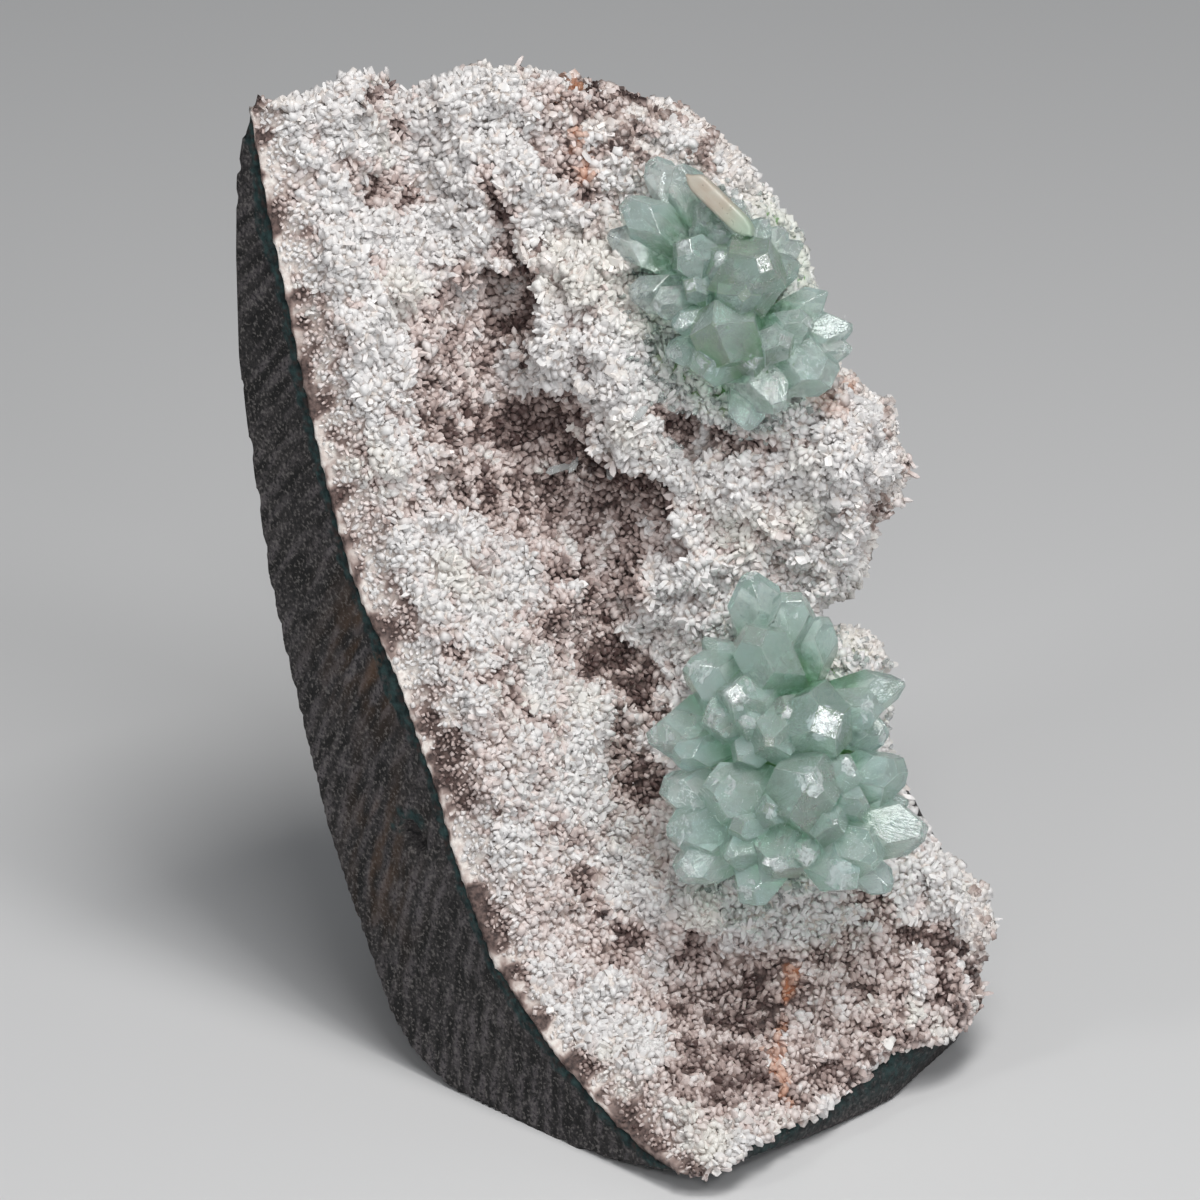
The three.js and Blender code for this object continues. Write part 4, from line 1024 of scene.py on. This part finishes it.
green_glass, tree, surface = new_material("green apophyllite")
milk = grain(tree, 300, 5, 0.65)
tip_colour = blend(tree, attribute(tree, "shade"), (0.82, 0.98, 0.98), (0.94, 1.0, 1.0))
root_colour = blend(tree, graded(tree, milk, 0.35, 0.65), (0.14, 0.37, 0.11), (0.48, 0.8, 0.62))
colour = blend(tree, graded(tree, attribute(tree, "along"), 0.54, 0.84), root_colour, tip_colour)
# Milky clouds, and fine healed cracks that run through them.
colour = blend(tree, graded(tree, milk, 0.52, 0.68, 0, 0.6), colour, (0.96, 1.0, 1.0))
away = calculated(tree, "SUBTRACT", grain(tree, 380, 3, 0.6), 0.5)
crack = graded(tree, calculated(tree, "ABSOLUTE", away), 0.0, 0.022, 0.7, 0)
colour = blend(tree, crack, colour, (0.98, 1.0, 1.0))
painted_sheen = attribute(tree, "pearly")
# The end faces and edges are whitened as painted pearly sheen, the point faces less and the sides least.
colour = blend(tree, graded(tree, painted_sheen, 0, 1, 0, 0.8), colour, (0.97, 1.0, 1.0))
# Frosted patches with ragged edges, on about half the crystals.
ragged = graded(tree, grain(tree, 330, 5, 0.7), 0.53, 0.57)
frost = calculated(tree, "MULTIPLY", ragged, graded(tree, attribute(tree, "shade"), 0.45, 0.55))
frost = calculated(tree, "MULTIPLY", frost, graded(tree, painted_sheen, 0.05, 0.3))
colour = blend(tree, frost, colour, (1.0, 1.0, 1.0))
satin = graded(tree, grain(tree, 420, 3), 0.5, 0.75, 0.015, 0.1)
for share, most in ((painted_sheen, 0.03), (crack, 0.25), (frost, 0.2)):
    satin = calculated(tree, "MULTIPLY_ADD", share, most, satin)
# Fine lines run up the faces, with small chips scattered over them.
where = add_node(tree, "ShaderNodeUVMap", uv_map="growth").outputs["UV"]
where = add_node(tree, "ShaderNodeMapping", {"Vector": where, "Scale": (2.2, 0.22, 1)}).outputs["Vector"]
stripes = add_node(tree, "ShaderNodeTexNoise", {"Vector": where, "Scale": 1, "Detail": 3}).outputs["Fac"]
bump = add_node(tree, "ShaderNodeBump", {"Height": stripes, "Distance": 0.00012, "Strength": 0.4})
chips = add_node(tree, "ShaderNodeBump", {
    "Height": graded(tree, grain(tree, 700, 4, 0.7), 0.48, 0.56), "Distance": 0.00004, "Strength": 0.4,
    "Normal": bump.outputs["Normal"],
})
set_inputs(surface, {
    "Base Color": colour, "Roughness": satin, "Normal": chips.outputs["Normal"],
    "Transmission Weight": 0.78, "IOR": 1.535, "Specular IOR Level": 0.8,
})
inside = add_node(tree, "ShaderNodeVolumeAbsorption", {"Color": (0.5, 0.9, 0.82, 1), "Density": 20})
set_inputs(tree.nodes["Material Output"], {"Volume": inside.outputs[0]})
for piece, node in [(lower, "apophyllite_cluster_lower"), (upper, "apophyllite_cluster_upper")]:
    piece.data.materials.append(green_glass)
    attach(piece, "root")
    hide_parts(node)

# --------------------------------------------------------------------------------------------------
# Clear small crystals: a fringe of glassy crystals, two millimetres long, round the feet of both clusters,
# and a few single clear ones on the knobs.

clear, tree, surface = new_material("clear crystal")
set_inputs(surface, {
    "Base Color": blend(tree, attribute(tree, "shade"), (0.72, 0.8, 0.76), (0.9, 0.93, 0.93)),
    "Roughness": graded(tree, grain(tree, 1500, 2), 0.4, 0.7, 0.05, 0.35),
    "Transmission Weight": 0.6, "IOR": 1.52,
})

FRINGE = {
    "Forms": clear_forms, "Spacing": 0.0011, "Density": 5e5, "Lean": 0.7, "Smallest": 0.5, "Largest": 1.15,
}
fringe = grow("clear_fringe", crust, {**FRINGE, "Where": "round_seats", "Seed": 31}, clear)
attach(fringe, "root")

# Each single crystal: x and y on the crystal face where it stands, which way it points, its length and its
# width, in millimetres.
SINGLES = [
    (12.2, 28.8, (0.5, -0.7, 0.5), 3.6, 2.1),
    (-5.2, 24.4, (-0.9, -0.25, 0.4), 4.2, 1.3),
    (5.4, 31.6, (0.6, 0.6, 0.6), 4.4, 1.1),
    (27.6, 46.2, (0.55, -0.7, 0.5), 4.2, 1.4),
    (1.6, 23.6, (0.1, -0.6, 0.8), 2.2, 1.0),
    (20.5, 27.6, (0.1, -0.8, 0.6), 3.4, 1.8),
    (-4.0, 25.6, (-0.5, -0.8, 0.4), 2.4, 1.0),
    (24.0, 34.0, (0.4, -0.6, 0.7), 3.0, 1.6),
]
ROOTED = 1  # millimetres of its foot, which stand among the druse's crystals, besides its length
ABOVE_ALL = 60  # a height over the crystal face that nothing reaches
crust_now = BVHTree.FromObject(crust, bpy.context.evaluated_depsgraph_get())
singles = []
for number, (x, y, points_to, length, width) in enumerate(SINGLES):
    ray_start = face_to_world((x, y, ABOVE_ALL))
    foot = crust_now.ray_cast(ray_start, -FACE_TURN.col[2])[0]
    root = FACE_TURN.inverted() @ (foot * 1000 - FACE_MIDDLE)
    tip = root + Vector(points_to).normalized() * (length + ROOTED)
    piece, _ = apophyllite(f"single_{number}", root, tip, width, 0.3, random_from(number + 3))
    singles.append(piece)
bm = bmesh.new()
for piece in singles:
    bm.from_mesh(piece.data)
    bpy.data.objects.remove(piece)
single_mesh = bpy.data.meshes.new("clear_singles")
bm.to_mesh(single_mesh)
bm.free()
set_attribute(single_mesh, "shade", [0.9] * len(single_mesh.vertices))  # all of them nearly colourless
single_mesh.materials.append(clear)
single = placed("clear_singles", single_mesh)
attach(single, "root")
# The forms have served both growths.
for collection in (blunt_forms, clear_forms):
    for form in list(collection.objects):
        bpy.data.objects.remove(form)
    bpy.data.collections.remove(collection)

# --------------------------------------------------------------------------------------------------
# Stilbite blade: one flat lath, cream to pale peach and pearly, lying in the upper cluster. Fine growth
# lines run along it, and its lower end is tinged with green.

NARROWER = 0.16  # share of its solid's width that it lacks all along
NARROWER_AT_ENDS = 0.75  # the most that is added to this towards its ends

blade = even_copy("stilbite_blade", "stilbite_lath", voxel=0.00022)
smooth(blade.data, rounds=24)  # which rounds its edges
points, normals = points_and_normals(blade.data)
middle = points.mean(axis=0)
axes = np.linalg.svd(points - middle, full_matrices=False)[2]
length_way, width_way = axes[0] * (1 if axes[0][2] > 0 else -1), axes[1]
out = points - middle
lines = fractal(np.column_stack([out @ width_way, 0.04 * out @ length_way, np.zeros(len(points))]), 0.8, 3)
points += normals * (0.02 * np.minimum(lines, 0.5) - 0.02)[:, None]
place = (points - middle) @ length_way
to_end = np.minimum(place - place.min(), place.max() - place)
narrowing = NARROWER + NARROWER_AT_ENDS * (1 - smoothstep(to_end, -2, 3.5))
points -= np.outer(narrowing * ((points - middle) @ width_way), width_way)
set_points(blade.data, points)
set_attribute(blade.data, "up_blade", smoothstep((points - middle) @ length_way, -8, 1))
set_attribute(blade.data, "lines", 0.5 + 0.5 * lines)
blade.data.shade_smooth()

peach, tree, surface = new_material("peach stilbite")
cream = blend(tree, graded(tree, attribute(tree, "lines"), 0.2, 0.8), (0.54, 0.46, 0.37), (0.57, 0.5, 0.42))
cream = blend(tree, graded(tree, grain(tree, 350, 3), 0.35, 0.7), cream, (0.62, 0.59, 0.51))
cream = blend(tree, attribute(tree, "up_blade"), (0.46, 0.58, 0.46), cream)
pearly = graded(tree, grain(tree, 900, 3), 0.3, 0.7, 0.25, 0.5)
set_inputs(surface, {"Base Color": cream, "Roughness": pearly, "Transmission Weight": 0.25})
blade.data.materials.append(peach)
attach(blade, "root")
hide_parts("stilbite_blade")
